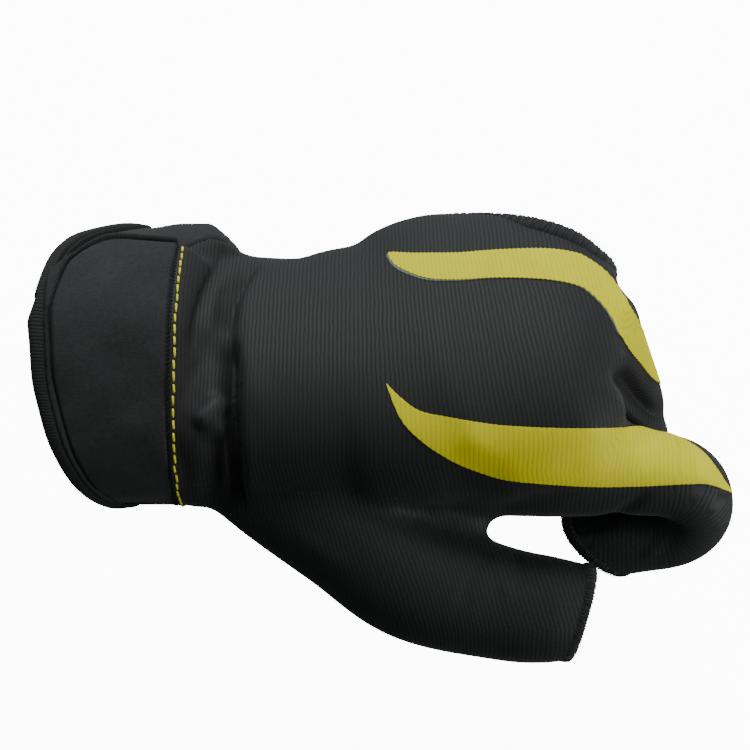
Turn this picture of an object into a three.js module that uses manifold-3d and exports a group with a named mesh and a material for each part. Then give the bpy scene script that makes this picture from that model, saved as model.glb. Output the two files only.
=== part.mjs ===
// A left-hand billiard glove for three fingers, in the form that it has on a half-closed hand.
// Millimetres. +X runs from the wrist to the fingers, +Z out of the back of the hand, -Y to the thumb.
// The origin is the centre of the wrist opening, where the hand goes in.
import * as THREE from "three";
import { LoftGeometry } from "three/addons/geometries/LoftGeometry.js";
import { mergeVertices } from "three/addons/utils/BufferGeometryUtils.js";
import Module from "manifold-3d";

const wasm = await Module();
wasm.setup();

// Cloth
const KNIT = 1.2;
const PADDED = 2.3;
const FILM = 0.35;
const CLEAR = 0.3;
const HEM_WIDTH = 3.4;
const HEM_SWELL = 0.55;
const TAPE_WIDTH = 4.5;
const PIPING_WIDTH = 1.7;
const TAPE_SWELL = 0.7;
const GROOVE = 0.8;
const FOLD_RISE = 1.0;
const CREASE = 1.5;
const SLEEVE_SEAM = 2;
const CUT_REACH = 3;

// Sizes of the hand that the glove is shaped on
const HAND_LENGTH = 100;
const HAND_BREADTH = 88;
const HAND_DEPTH = 50;
const SEAM_X = 27.3;
const SQUARENESS = 2.25;
const FINGER_WIDTH = 22;
const INDEX_LENGTH = 59;
const INDEX_BEND_RADIUS = 8.7;
const INDEX_BEND_TURN = 152.4;
const INDEX_TIP = 17;
const MIDDLE_LENGTH = 39;
const MIDDLE_BEND_RADIUS = 9;
const MIDDLE_BEND_TURN = 100;
const MIDDLE_TIP = 16;
const THUMB_LENGTH = 90;
const THUMB_WIDTH = 30;

// Cuff
const CUFF_HALF_WIDTH = 38.9;
const CUFF_HALF_DEPTH = 28.8;
const CUFF_LENGTH = 34;
const BAND_OVERLAP = 9;
const FLAP_FREE_TURN = 68;
const FLAP_JOINED_TURN = 201.5;
const BAND_END_TURN = 96;
const LIFT = 1.7;
const CUFF_TAPER = 2;
const CUFF_DROP = 0.5;
const CORNER_TURN = 24;
const BAND_RISE = 1.6;
const PAD_LENGTH = 14;
const PAD_START_TURN = 79;
const PAD_END_TURN = 94;

// Opening for the ring and little fingers: a plane upright on the hand's side
const SIDE_TURN = 61.5;
const SIDE_REACH = 81.6;

// Hand: along in hand lengths from the wrist seam, across and wide in breadths, up and deep in depths
const HAND = [
  { along: -0.06, across: -0.025, up: -0.02, wide: 0.405, deep: 0.51 },
  { along: 0.0, across: -0.03, up: -0.02, wide: 0.403, deep: 0.51 },
  { along: 0.107, across: -0.058, up: -0.01, wide: 0.398, deep: 0.46 },
  { along: 0.187, across: -0.066, up: 0.0, wide: 0.385, deep: 0.46 },
  { along: 0.317, across: -0.076, up: 0.01, wide: 0.382, deep: 0.46 },
  { along: 0.417, across: -0.06, up: 0.02, wide: 0.412, deep: 0.46 },
  { along: 0.537, across: -0.051, up: 0.04, wide: 0.437, deep: 0.46 },
  { along: 0.637, across: -0.013, up: 0.075, wide: 0.492, deep: 0.455 },
  { along: 0.737, across: -0.012, up: 0.09, wide: 0.476, deep: 0.44 },
  { along: 0.857, across: -0.005, up: 0.12, wide: 0.465, deep: 0.43 },
  { along: 0.957, across: 0.013, up: 0.14, wide: 0.44, deep: 0.39 },
  { along: 1.02, across: 0.018, up: 0.14, wide: 0.385, deep: 0.31 },
  { along: 1.05, across: 0.02, up: 0.13, wide: 0.29, deep: 0.19 },
];

// Thumb: along in thumb lengths, across and up in hand breadths, wide and deep in thumb widths
const THUMB = [
  { along: 0.085, across: -0.235, up: -0.11, wide: 0.4, deep: 0.37, lean: 0 },
  { along: 0.274, across: -0.345, up: -0.146, wide: 0.46, deep: 0.46, lean: 0 },
  { along: 0.463, across: -0.45, up: -0.2, wide: 0.515, deep: 0.5, lean: 0 },
  { along: 0.64, across: -0.555, up: -0.27, wide: 0.535, deep: 0.5, lean: 0 },
  { along: 0.863, across: -0.61, up: -0.306, wide: 0.485, deep: 0.455, lean: 0 },
  { along: 0.985, across: -0.63, up: -0.312, wide: 0.45, deep: 0.43, lean: -0.08 },
  { along: 1.09, across: -0.636, up: -0.316, wide: 0.37, deep: 0.37, lean: -0.18 },
];

// Web between thumb and index finger, same measures as the thumb
const WEB = [
  { along: 0.274, across: -0.205, up: -0.11, wide: 0.33, deep: 0.3, lean: 0 },
  { along: 0.452, across: -0.285, up: -0.136, wide: 0.47, deep: 0.43, lean: 0 },
  { along: 0.63, across: -0.364, up: -0.17, wide: 0.5, deep: 0.4, lean: 0 },
  { along: 0.741, across: -0.42, up: -0.205, wide: 0.43, deep: 0.33, lean: 0 },
  { along: 0.819, across: -0.45, up: -0.227, wide: 0.3, deep: 0.23, lean: 0 },
];

// Girths along the two fingers, in finger widths
const INDEX_GIRTHS = [
  { wide: 0.41, deep: 0.55 }, { wide: 0.55, deep: 0.7 }, { wide: 0.61, deep: 0.78 },
  { wide: 0.57, deep: 0.65 }, { wide: 0.5, deep: 0.5 }, { wide: 0.48, deep: 0.47 },
  { wide: 0.47, deep: 0.45 }, { wide: 0.45, deep: 0.43 }, { wide: 0.44, deep: 0.42 },
];
const MIDDLE_GIRTHS = [
  { wide: 0.5, deep: 0.42 }, { wide: 0.57, deep: 0.53 }, { wide: 0.56, deep: 0.55 },
  { wide: 0.54, deep: 0.55 }, { wide: 0.5, deep: 0.5 }, { wide: 0.49, deep: 0.48 },
  { wide: 0.47, deep: 0.45 }, { wide: 0.45, deep: 0.43 },
];

// Folds near the wrist: along in hand lengths, turn and spread in degrees round the hand from the little
// finger's side, slant and width in hand lengths, rise in fold rises (a hollow is below zero)
const FOLDS = [
  { along: 0.05, turn: 78, spread: 30, slant: -0.045, width: 0.022, rise: -1.1 },
  { along: 0.105, turn: 95, spread: 36, slant: -0.02, width: 0.02, rise: -1.0 },
  { along: 0.075, turn: 140, spread: 16, slant: 0.0, width: 0.035, rise: 1.3 },
  { along: 0.08, turn: 168, spread: 16, slant: 0.02, width: 0.04, rise: -1.9 },
  { along: 0.155, turn: 150, spread: 40, slant: 0.0, width: 0.025, rise: 1.4 },
  { along: 0.17, turn: 72, spread: 26, slant: -0.05, width: 0.025, rise: 0.6 },
];

// Rim of the cuff: turn in degrees round the wrist from the little finger's side, back in cuff lengths
// from the wrist seam
const CUFF_RIM = [
  { turn: -90, back: 0.42 },
  { turn: 33, back: 0.43 },
  { turn: 48, back: 0.58 },
  { turn: 63, back: 0.81 },
  { turn: 76, back: 0.91 },
  { turn: 95, back: 0.96 },
  { turn: 115, back: 0.935 },
  { turn: 130, back: 0.92 },
  { turn: 155, back: 0.82 },
  { turn: 176, back: 0.7 },
  { turn: 201, back: 0.52 },
  { turn: 216, back: 0.43 },
  { turn: 270, back: 0.42 },
];

// Accents on the drawing plane: at, over and under in hand lengths from the plane's middle
const INDEX_STRIPE = [
  { at: 0.0275, over: -0.02, under: -0.022 },
  { at: 0.0625, over: -0.055, under: -0.108 },
  { at: 0.1125, over: -0.09, under: -0.163 },
  { at: 0.1875, over: -0.106, under: -0.212 },
  { at: 0.2625, over: -0.119, under: -0.243 },
  { at: 0.3375, over: -0.1275, under: -0.263 },
  { at: 0.4625, over: -0.133, under: -0.274 },
  { at: 0.5625, over: -0.133, under: -0.279 },
  { at: 0.6625, over: -0.13, under: -0.278 },
  { at: 0.7125, over: -0.137, under: -0.276 },
  { at: 0.7875, over: -0.17, under: -0.273 },
  { at: 0.8375, over: -0.2125, under: -0.275 },
  { at: 0.89, over: -0.29, under: -0.294 },
];
const MIDDLE_STRIPE = [
  { at: 0.0325, over: 0.305, under: 0.3 },
  { at: 0.05, over: 0.306, under: 0.275 },
  { at: 0.0875, over: 0.304, under: 0.255 },
  { at: 0.1375, over: 0.304, under: 0.24 },
  { at: 0.2125, over: 0.305, under: 0.2375 },
  { at: 0.3125, over: 0.3125, under: 0.2425 },
  { at: 0.425, over: 0.315, under: 0.2385 },
  { at: 0.5, over: 0.305, under: 0.225 },
  { at: 0.5375, over: 0.2875, under: 0.205 },
  { at: 0.58, over: 0.255, under: 0.16 },
  { at: 0.6125, over: 0.2125, under: 0.1 },
  { at: 0.6375, over: 0.17, under: 0.06 },
  { at: 0.6625, over: 0.125, under: 0.03 },
  { at: 0.69, over: 0.06, under: -0.005 },
  { at: 0.7175, over: -0.02, under: -0.025 },
];
const DRAWING_TILT = 50;
const DRAWING_CENTRE = { along: 0.477, across: -0.031, up: -0.045 };
const DRAWING_DISTANCE = 4;

const vec = (x, y, z) => new THREE.Vector3(x, y, z);
const unit = (x, y, z) => vec(x, y, z).normalize();
const square = (v, axis) => v.clone().addScaledVector(axis, -v.dot(axis)).normalize();
const radians = THREE.MathUtils.degToRad;

// Catmull-Rom value between the second and third of four numbers
function spline(a, b, c, d, t) {
  const linear = (c - a) * t;
  const bent = (2 * a - 5 * b + 4 * c - d) * t * t;
  return 0.5 * (2 * b + linear + bent + (3 * b - a - 3 * c + d) * t ** 3);
}

// A row between the rows of a table, at a share of the table's length
function rowAt(rows, share) {
  const place = THREE.MathUtils.clamp(share, 0, 1) * (rows.length - 1);
  const first = Math.min(Math.floor(place), rows.length - 2);
  const near = [-1, 0, 1, 2].map((k) => rows[THREE.MathUtils.clamp(first + k, 0, rows.length - 1)]);
  const row = {};
  for (const column of Object.keys(rows[0])) {
    row[column] = spline(...near.map((r) => r[column]), place - first);
  }
  return row;
}

// A finger's rows: a straight length, a fold back under itself and a second length
function fingerRows({ root, ahead, hinge, first, radius, fold, last, girths, lean }) {
  const rows = [];
  const arc = radius * fold;
  const total = first + arc + last;
  const inward = hinge.clone().cross(ahead).normalize();
  const returning = ahead.clone().multiplyScalar(Math.cos(fold)).addScaledVector(inward, Math.sin(fold));
  const steps = 24;
  for (let i = 0; i <= steps; i++) {
    const run = (total * i) / steps;
    const turned = THREE.MathUtils.clamp((run - first) / radius, 0, fold);
    const over = Math.max(0, run - first - arc);
    const p = root.clone()
      .addScaledVector(ahead, Math.min(run, first) + radius * Math.sin(turned))
      .addScaledVector(inward, radius * (1 - Math.cos(turned)))
      .addScaledVector(returning, over);
    const girth = rowAt(girths, i / steps);
    const apart = Math.max(first - run, over, 0);
    rows.push({
      x: p.x, y: p.y, z: p.z,
      wide: girth.wide * FINGER_WIDTH, deep: girth.deep * FINGER_WIDTH, lean: lean * (over / last),
      inner: radius - CREASE + apart * Math.tan((Math.PI - fold) / 2),
    });
  }
  return rows;
}

// A place from shares of the hand's sizes
const inHand = ({ along, across, up }) =>
  vec(SEAM_X + along * HAND_LENGTH, across * HAND_BREADTH, up * HAND_DEPTH);
const fromThumbTable = (r) => ({
  x: SEAM_X + r.along * THUMB_LENGTH, y: r.across * HAND_BREADTH, z: r.up * HAND_BREADTH,
  wide: r.wide * THUMB_WIDTH, deep: r.deep * THUMB_WIDTH, lean: r.lean,
});
const indexAhead = unit(0.982, -0.076, -0.178);
const indexHinge = square(vec(0.042, 0.981, -0.188), indexAhead);
const middleAhead = unit(0.35, -0.15, -0.92);
const middleHinge = square(vec(0, 1, -0.1), middleAhead);

// A finger has most sections in its bend
const fingerFine = (bendStart, bendEnd) => Array.from({ length: 24 }, (_, i) => {
  if (i < bendStart) return 0.3;
  return i < bendEnd ? 0.9 : 0.5;
});

// The five limbs of the form: each has rows, a hinge direction, the number of points round it and the
// shares of its length at which it has a section
const LIMBS = {
  hand: {
    rows: HAND.map((r) => ({
      x: SEAM_X + r.along * HAND_LENGTH, y: r.across * HAND_BREADTH, z: r.up * HAND_DEPTH,
      wide: r.wide * HAND_BREADTH, deep: r.deep * HAND_DEPTH, lean: 0,
    })),
    hinge: vec(0, 1, 0), around: 30, fine: [1, 3, 3, 1, 1, 1, 1, 1, 1, 1, 2, 2], closed: 1, folded: true,
  },
  index: {
    rows: fingerRows({
      root: inHand({ along: 0.607, across: -0.284, up: 0.02 }), ahead: indexAhead, hinge: indexHinge,
      first: INDEX_LENGTH, radius: INDEX_BEND_RADIUS, fold: radians(INDEX_BEND_TURN), last: INDEX_TIP,
      girths: INDEX_GIRTHS, lean: 0.75,
    }),
    hinge: indexHinge, around: 14, fine: fingerFine(14, 20), closed: 0,
  },
  middle: {
    rows: fingerRows({
      root: inHand({ along: 0.982, across: 0.016, up: 0.34 }), ahead: middleAhead, hinge: middleHinge,
      first: MIDDLE_LENGTH, radius: MIDDLE_BEND_RADIUS, fold: radians(MIDDLE_BEND_TURN), last: MIDDLE_TIP,
      girths: MIDDLE_GIRTHS, lean: 0,
    }),
    hinge: middleHinge, around: 12, fine: fingerFine(14, 19), closed: 0,
  },
  thumb: {
    rows: THUMB.map(fromThumbTable), hinge: unit(0.3, 0.6, -0.75), around: 16, fine: Array(6).fill(1.5), closed: 0,
  },
  web: {
    rows: WEB.map(fromThumbTable), hinge: unit(0.3, 0.8, 0.5), around: 12, fine: Array(4).fill(1), closed: 1,
  },
};

// Rise of the cloth at a place along the hand and an angle round it
function foldAt(x, angle) {
  let rise = 0;
  for (const f of FOLDS) {
    const past = THREE.MathUtils.radToDeg(angle) - f.turn + 180;
    const round = (THREE.MathUtils.euclideanModulo(past, 360) - 180) / f.spread;
    const line = SEAM_X + (f.along + f.slant * round * Math.abs(round)) * HAND_LENGTH;
    rise += f.rise * FOLD_RISE * Math.exp(-(((x - line) / (f.width * HAND_LENGTH)) ** 2) - round * round);
  }
  return rise;
}

// One section's ring of points
function ringAt(limb, share, grow, shift) {
  const row = rowAt(limb.rows, share);
  const before = rowAt(limb.rows, share - 0.012);
  const after = rowAt(limb.rows, share + 0.012);
  const ahead = unit(after.x - before.x, after.y - before.y, after.z - before.z);
  const back = ahead.clone().cross(limb.hinge).normalize();
  const side = back.clone().cross(ahead).normalize();
  const points = [];
  for (let k = 0; k < limb.around; k++) {
    const angle = (2 * Math.PI * k) / limb.around;
    const extra = grow + (limb.folded ? foldAt(row.x, angle) : 0);
    const c = Math.cos(angle);
    const s = Math.sin(angle);
    const across = Math.sign(c) * Math.abs(c) ** (2 / SQUARENESS) * (row.wide + extra);
    const free = (row.inner ?? Infinity) + 0.7 * extra;
    const reach = s < 0 ? Math.min(row.deep + extra, free) : row.deep + extra;
    const up = Math.sign(s) * Math.abs(s) ** (2 / SQUARENESS) * reach;
    points.push(vec(row.x, row.y, row.z)
      .addScaledVector(side, across).addScaledVector(back, up).addScaledVector(ahead, shift - row.lean * up));
  }
  return points;
}

// Shares of a limb's length that have a section, between two shares
function sharesOf(limb, from, to) {
  const shares = [from];
  let carried = 0;
  limb.fine.forEach((fine, i) => {
    carried += fine;
    const count = Math.floor(carried + 1e-6);
    carried -= count;
    for (let k = 1; k <= count; k++) {
      const share = (i + k / count) / limb.fine.length;
      if (share > from + 0.004 && share < to - 0.004) shares.push(share);
    }
  });
  return [...shares, to];
}

function solidOf(geometry) {
  const bare = new THREE.BufferGeometry();
  bare.setAttribute("position", geometry.getAttribute("position").clone());
  bare.setIndex(geometry.index);
  const merged = mergeVertices(bare, 1e-4);
  return new wasm.Manifold(new wasm.Mesh({
    numProp: 3, vertProperties: merged.attributes.position.array, triVerts: new Uint32Array(merged.index.array),
  }));
}

// A solid through rings of points, closed at both ends by a fan round the ring's middle, or for a flat
// ring, whose second half runs back beside its first, by a strip between the halves
function throughRings(rings, flat = false) {
  const count = rings[0].length;
  const middles = [rings[0], rings.at(-1)].map((ring) =>
    ring.reduce((sum, p) => sum.add(p), vec(0, 0, 0)).divideScalar(count));
  let vertProperties = new Float32Array([...rings.flat(), ...middles].flatMap((p) => p.toArray()));
  const triVerts = [];
  const startMiddle = rings.length * count;
  for (let j = 0; j < count; j++) {
    const next = (j + 1) % count;
    for (let i = 0; i < rings.length - 1; i++) {
      const [a, b] = [i * count + j, i * count + next];
      triVerts.push(a, b, a + count, b, b + count, a + count);
    }
    const last = (rings.length - 1) * count;
    const facing = count - 1 - j;
    if (!flat) triVerts.push(startMiddle, next, j, startMiddle + 1, last + j, last + next);
    else if (j < count / 2 - 1) {
      triVerts.push(j, facing, next, facing, facing - 1, next);
      triVerts.push(last + j, last + next, last + facing, last + facing, last + next, last + facing - 1);
    }
  }
  if (flat) vertProperties = vertProperties.slice(0, startMiddle * 3);
  return new wasm.Manifold(new wasm.Mesh({ numProp: 3, vertProperties, triVerts: new Uint32Array(triVerts) }));
}

// A limb, or a part of it, grown by an amount and reaching on past its open end
function limbSolid(limb, { grow = 0, from = 0, to = 1, reach = 0 } = {}) {
  const shares = sharesOf(limb, from, to);
  const rings = shares.map((share, i) => {
    if (i === 0 && from === 0) return ringAt(limb, share, grow, -grow);
    const atEnd = i === shares.length - 1 && to === 1;
    return ringAt(limb, share, grow, atEnd ? grow * limb.closed : 0);
  });
  if (reach > 0) rings.push(ringAt(limb, to, grow, reach));
  return throughRings(rings);
}

const sideNormal = [Math.cos(radians(SIDE_TURN)), Math.sin(radians(SIDE_TURN)), 0];
const trimPast = (solid, reach) => solid.trimByPlane(sideNormal.map((v) => -v), -reach);
const fromPlane = (solid, reach) => solid.trimByPlane(sideNormal, reach);

// The whole form grown by an amount, with the hand cut off at the opening for the last two fingers
function form(grow, past, reach = 0) {
  const parts = [trimPast(limbSolid(LIMBS.hand, { grow }), SIDE_REACH + past)];
  for (const name of ["index", "middle", "thumb"]) parts.push(limbSolid(LIMBS[name], { grow, reach }));
  parts.push(limbSolid(LIMBS.web, { grow }));
  return wasm.Manifold.union(parts).trimByPlane([1, 0, 0], SEAM_X);
}

// The greatest single body of a solid
function whole(solid) {
  const bodies = solid.decompose();
  return bodies.reduce((a, b) => (a.volume() > b.volume() ? a : b));
}

const group = new THREE.Group();
group.name = "billiard_glove";
function add(name, solid, color, roughness) {
  const mesh = solid.getMesh();
  const geometry = new THREE.BufferGeometry();
  geometry.setAttribute("position", new THREE.BufferAttribute(new Float32Array(mesh.vertProperties), 3));
  geometry.setIndex(new THREE.BufferAttribute(new Uint32Array(mesh.triVerts), 1));
  geometry.computeVertexNormals();
  const made = new THREE.Mesh(geometry, new THREE.MeshStandardMaterial({ color, roughness, metalness: 0 }));
  made.name = name;
  group.add(made);
}

const CLOTH = 0x26282c;
const TRIM = 0x1f2124;
const ACCENT = 0xd6cc3e;
const CUFF = 0x2d3238;

// Where each sleeve leaves the hand and where its hem begins, as shares of the limb's length
const SLEEVES = {
  index: { leaves: 0.36, hem: 0.965 },
  middle: { leaves: 0.3, hem: 0.955 },
  thumb: { leaves: 0.56, hem: 0.965 },
};

const sideCut = -HEM_WIDTH - CLEAR;
const skin = form(0, sideCut).subtract(form(-KNIT, sideCut + KNIT, CUT_REACH));
let rest = skin;
for (const [name, { leaves, hem }] of Object.entries(SLEEVES)) {
  const limb = LIMBS[name];
  const claim = limbSolid(limb, { grow: SLEEVE_SEAM, from: leaves, to: hem });
  add(`${name}_sleeve`, whole(rest.intersect(claim)), CLOTH, 0.85);
  rest = rest.subtract(limbSolid(limb, {
    grow: SLEEVE_SEAM + CLEAR, from: leaves - 0.003, reach: 2 * CUT_REACH,
  }));
  const hemStart = hem + 0.006;
  const outside = limbSolid(limb, { grow: HEM_SWELL, from: hemStart });
  const inside = limbSolid(limb, { grow: -KNIT - HEM_SWELL, from: hemStart - 0.02, reach: CUT_REACH });
  add(`${name}_hem`, outside.subtract(inside), TRIM, 0.9);
}
const PALM_SEAM_Z = 1;
add("back_panel", whole(rest.trimByPlane([0, 0, 1], PALM_SEAM_Z + CLEAR / 2)), CLOTH, 0.85);
add("palm_panel", whole(rest.trimByPlane([0, 0, -1], -PALM_SEAM_Z + CLEAR / 2)), CLOTH, 0.85);

const handBand = fromPlane(
  limbSolid(LIMBS.hand, { grow: HEM_SWELL }).subtract(limbSolid(LIMBS.hand, { grow: -KNIT - HEM_SWELL })),
  SIDE_REACH - HEM_WIDTH,
);
const besideHem = ["index", "middle", "thumb", "web"].map((name) =>
  limbSolid(LIMBS[name], { grow: 2 * CLEAR + FILM }));
add("side_hem", whole(trimPast(handBand, SIDE_REACH).subtract(wasm.Manifold.union(besideHem))), TRIM, 0.9);

// An accent: a thin film on the form, inside an outline that is carried through from the drawing plane
function accent(rows, behind) {
  const tilt = radians(DRAWING_TILT);
  const centre = inHand(DRAWING_CENTRE);
  const upward = vec(0, Math.sin(tilt), Math.cos(tilt));
  const outward = vec(0, -Math.cos(tilt), Math.sin(tilt));
  const outline = [...rows.map((r) => [r.at, r.over]), ...rows.toReversed().map((r) => [r.at, r.under])];
  const slices = [0.6, behind].map((depth) => outline.map(([at, over]) => {
    const scale = (HAND_LENGTH * (DRAWING_DISTANCE - depth)) / DRAWING_DISTANCE;
    return centre.clone().addScaledVector(outward, depth * HAND_LENGTH)
      .add(vec(at * scale, 0, 0)).addScaledVector(upward, over * scale);
  }));
  const prism = solidOf(new LoftGeometry(slices, { capStart: true, capEnd: true }));
  const film = form(CLEAR + FILM, -HEM_WIDTH - CLEAR).subtract(form(CLEAR, CUT_REACH));
  return whole(film.intersect(prism));
}
add("index_stripe", accent(INDEX_STRIPE, -0.02), ACCENT, 0.55);
add("middle_stripe", accent(MIDDLE_STRIPE, -0.18), ACCENT, 0.55);

// Distance along the wrist of the cuff's rim at a turn
function rimAt(turn) {
  const place = THREE.MathUtils.euclideanModulo(turn + 90, 360) - 90;
  const next = Math.max(1, CUFF_RIM.findIndex((r) => r.turn >= place));
  const [a, b] = [CUFF_RIM[next - 1], CUFF_RIM[next]];
  const share = THREE.MathUtils.clamp((place - a.turn) / (b.turn - a.turn), 0, 1);
  return SEAM_X - THREE.MathUtils.lerp(a.back, b.back, share) * CUFF_LENGTH;
}

// A point on the cuff: along the wrist, round it, and out from the band's outer face
function onCuff(x, turn, out) {
  const share = THREE.MathUtils.clamp(x / SEAM_X, 0, 1);
  const angle = radians(turn);
  const deep = CUFF_HALF_DEPTH - CUFF_TAPER * share;
  return vec(x, (CUFF_HALF_WIDTH + out) * Math.cos(angle) - CUFF_DROP * share,
    (deep + out) * Math.sin(angle) - CUFF_DROP * share);
}

// A curved patch of the cuff between two faces, with u along the wrist and v round it
function patch({ place, out = () => 0, u: [u0, u1], v: [v0, v1], under, over, rows = 5, columns = 20 }) {
  const rings = [];
  for (let j = 0; j <= columns; j++) {
    const v = THREE.MathUtils.lerp(v0, v1, j / columns);
    const line = (level, order) => Array.from({ length: rows + 1 }, (_, i) => {
      const [x, turn] = place(THREE.MathUtils.lerp(u0, u1, order(i) / rows), v);
      return onCuff(x, turn, out(turn, x) + level);
    });
    rings.push([...line(over, (i) => i), ...line(under, (i) => rows - i)]);
  }
  const made = throughRings(rings, true);
  return made.volume() > 0 ? made : throughRings(rings.reverse(), true);
}

const { smoothstep, lerp } = THREE.MathUtils;

// The flap lies on the band near its free end and comes down to the band's level beyond it
const flapOut = (turn) => (PADDED + LIFT) * (1 - smoothstep(turn, BAND_END_TURN + 3, BAND_END_TURN + 46));
const flapCorner = (x) =>
  CORNER_TURN * smoothstep((SEAM_X - x) / CUFF_LENGTH, 0.36, 0.92) ** 1.5;
const flapPlace = (start, end) => (u, v) => {
  const turn = lerp(FLAP_JOINED_TURN, FLAP_FREE_TURN, v);
  const x = lerp(start(turn), end(turn), u);
  return [x, turn + flapCorner(x) * smoothstep(v, 0.55, 1)];
};
const afterTape = (turn) => rimAt(turn) + TAPE_WIDTH + GROOVE;
const tapeEdge = (turn) => rimAt(turn) + TAPE_WIDTH;
const cuffEnd = () => SEAM_X - CLEAR;
const flapRound = radians(FLAP_JOINED_TURN - FLAP_FREE_TURN) * (CUFF_HALF_WIDTH - 4);
const pipingShare = PIPING_WIDTH / flapRound;
const flapEnd = 1 - pipingShare - GROOVE / flapRound;
const taped = { under: -PADDED - TAPE_SWELL, over: TAPE_SWELL };
const plain = { under: -PADDED, over: 0 };
add("cuff_flap", patch({
  place: flapPlace(afterTape, cuffEnd), out: flapOut, u: [0, 1], v: [0, flapEnd],
  rows: 7, ...plain,
}), CUFF, 0.75);
const rimTape = patch({
  place: flapPlace(rimAt, tapeEdge), out: flapOut, u: [0, 1], v: [0, flapEnd], rows: 1, ...taped,
});
const endPiping = patch({
  place: flapPlace(afterTape, cuffEnd), out: flapOut, u: [0, 1], v: [1 - pipingShare, 1],
  rows: 7, columns: 1, ...taped,
});
const cornerPiping = patch({
  place: flapPlace(rimAt, afterTape), out: flapOut, u: [0, 1.06], v: [1 - pipingShare, 1],
  rows: 2, columns: 1, ...taped,
});
const turnPiping = patch({
  place: flapPlace(rimAt, tapeEdge), out: flapOut, u: [0, 1], v: [flapEnd - 0.002, 1],
  rows: 1, columns: 3, ...taped,
});
add("flap_piping", rimTape.add(endPiping).add(cornerPiping).add(turnPiping), TRIM, 0.9);

// The band goes round the palm's side, over the knit at the little finger's side and in under the flap
const bandStart = FLAP_JOINED_TURN - 360 + 0.5;
const bandReach = (turn) => smoothstep(turn, -34, -4) * (1 - smoothstep(turn, 5, 58));
const bandOut = (turn, x) => {
  const nearSeam = 1 - smoothstep((SEAM_X - x) / CUFF_LENGTH, 0.01, 0.33);
  return BAND_RISE * nearSeam * smoothstep(turn, -50, -20) * (1 - smoothstep(turn, 35, 60));
};
const bandPlace = (start, end) => (u, v) => {
  const turn = lerp(bandStart, BAND_END_TURN, v);
  return [lerp(start(turn), end(turn), u), turn];
};
const bandEnd = (turn) => cuffEnd() + BAND_OVERLAP * bandReach(turn);
add("cuff_band", patch({
  place: bandPlace(afterTape, bandEnd), out: bandOut, u: [0, 1], v: [0, 1], columns: 24, rows: 4, ...plain,
}), CUFF, 0.75);
add("band_piping", patch({
  place: bandPlace(rimAt, tapeEdge), u: [0, 1], v: [0, 1], columns: 24, rows: 1, ...taped,
}), TRIM, 0.9);
add("hook_pad", patch({
  place: (u, v) => [cuffEnd() - PAD_LENGTH * (1.3 - u), lerp(PAD_START_TURN, PAD_END_TURN, v)],
  u: [0, 1], v: [0, 1], under: CLEAR, over: LIFT - CLEAR, rows: 3, columns: 4,
}), TRIM, 0.95);

export default group;
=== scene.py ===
"""The looks of a left-hand billiard glove for three fingers, hollow and in the half-closed form of use.

Every size is in millimetres and turned into metres when a piece is finished. +X runs from the wrist to
the fingers, +Z out of the back panel and -Y to the thumb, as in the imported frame.
"""

import logging
import math
from dataclasses import dataclass, field
from enum import Enum
from typing import Callable, Iterable, Optional, Sequence

import bmesh
import bpy
import numpy as np
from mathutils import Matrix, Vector
from mathutils.bvhtree import BVHTree

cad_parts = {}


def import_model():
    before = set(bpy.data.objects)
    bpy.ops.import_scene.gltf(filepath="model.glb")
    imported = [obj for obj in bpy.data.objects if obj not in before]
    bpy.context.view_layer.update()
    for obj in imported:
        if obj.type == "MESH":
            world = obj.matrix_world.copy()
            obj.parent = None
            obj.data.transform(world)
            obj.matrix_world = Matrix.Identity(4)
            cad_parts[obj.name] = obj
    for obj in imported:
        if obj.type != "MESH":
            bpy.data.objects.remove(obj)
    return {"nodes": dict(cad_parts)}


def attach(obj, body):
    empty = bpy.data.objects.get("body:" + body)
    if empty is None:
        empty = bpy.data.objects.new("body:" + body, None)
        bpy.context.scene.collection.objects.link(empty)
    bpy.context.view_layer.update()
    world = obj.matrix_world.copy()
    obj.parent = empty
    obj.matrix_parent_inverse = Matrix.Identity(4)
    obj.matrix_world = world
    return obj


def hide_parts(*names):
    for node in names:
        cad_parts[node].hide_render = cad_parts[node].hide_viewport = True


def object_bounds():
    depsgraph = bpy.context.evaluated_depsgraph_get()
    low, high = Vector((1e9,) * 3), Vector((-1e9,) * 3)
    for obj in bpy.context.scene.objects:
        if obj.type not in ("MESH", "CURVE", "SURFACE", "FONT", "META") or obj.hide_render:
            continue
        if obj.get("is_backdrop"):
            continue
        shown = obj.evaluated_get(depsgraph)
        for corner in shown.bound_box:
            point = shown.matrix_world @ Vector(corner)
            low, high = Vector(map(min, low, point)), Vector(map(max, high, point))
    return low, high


log = logging.getLogger("glove")

Array = np.ndarray
Mesh = bmesh.types.BMesh
Piece = bpy.types.Object
Finish = bpy.types.Material
Socket = bpy.types.NodeSocket
Colour = tuple[float, float, float]
Row = tuple[float, ...]
# near black painted as shade into the tape's sewn groove and along the cuff cloth's edge under the tape
PAINTED_GROOVE_SHADE = (0.001, 0.001, 0.001)
METRES = 0.001
SEAM_X = 27.3
HAND_LENGTH, HAND_BREADTH, HAND_DEPTH = 100.0, 88.0, 50.0
THUMB_LENGTH, THUMB_WIDTH = 90.0, 30.0
FINGER_WIDTH = 22.0
SQUARENESS = 2.25
TIPS_PAST = {"index": 2.0, "middle": 5.0, "thumb": 2.5}
DRAWING_TILT = 50.0
DRAWING_CENTRE = np.array([75.0, -2.728, -2.25])
DRAWING_DISTANCE = 400.0
TILT = math.radians(DRAWING_TILT)
UPWARD = np.array([0, math.sin(TILT), math.cos(TILT)])
OUTWARD = np.array([0, -math.cos(TILT), math.sin(TILT)])


class Column(Enum):
    """Columns of a limb's rows, after the three of its point."""

    WIDE = 3
    DEEP = 4
    LEAN = 5
    INNER = 6


class Rim(Enum):
    """Ends of the knit that carry a hem."""

    INDEX = "index_hem"
    MIDDLE = "middle_hem"
    THUMB = "thumb_hem"
    SIDE = "side_hem"


# ---------------------------------------------------------------- numbers and curves


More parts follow.
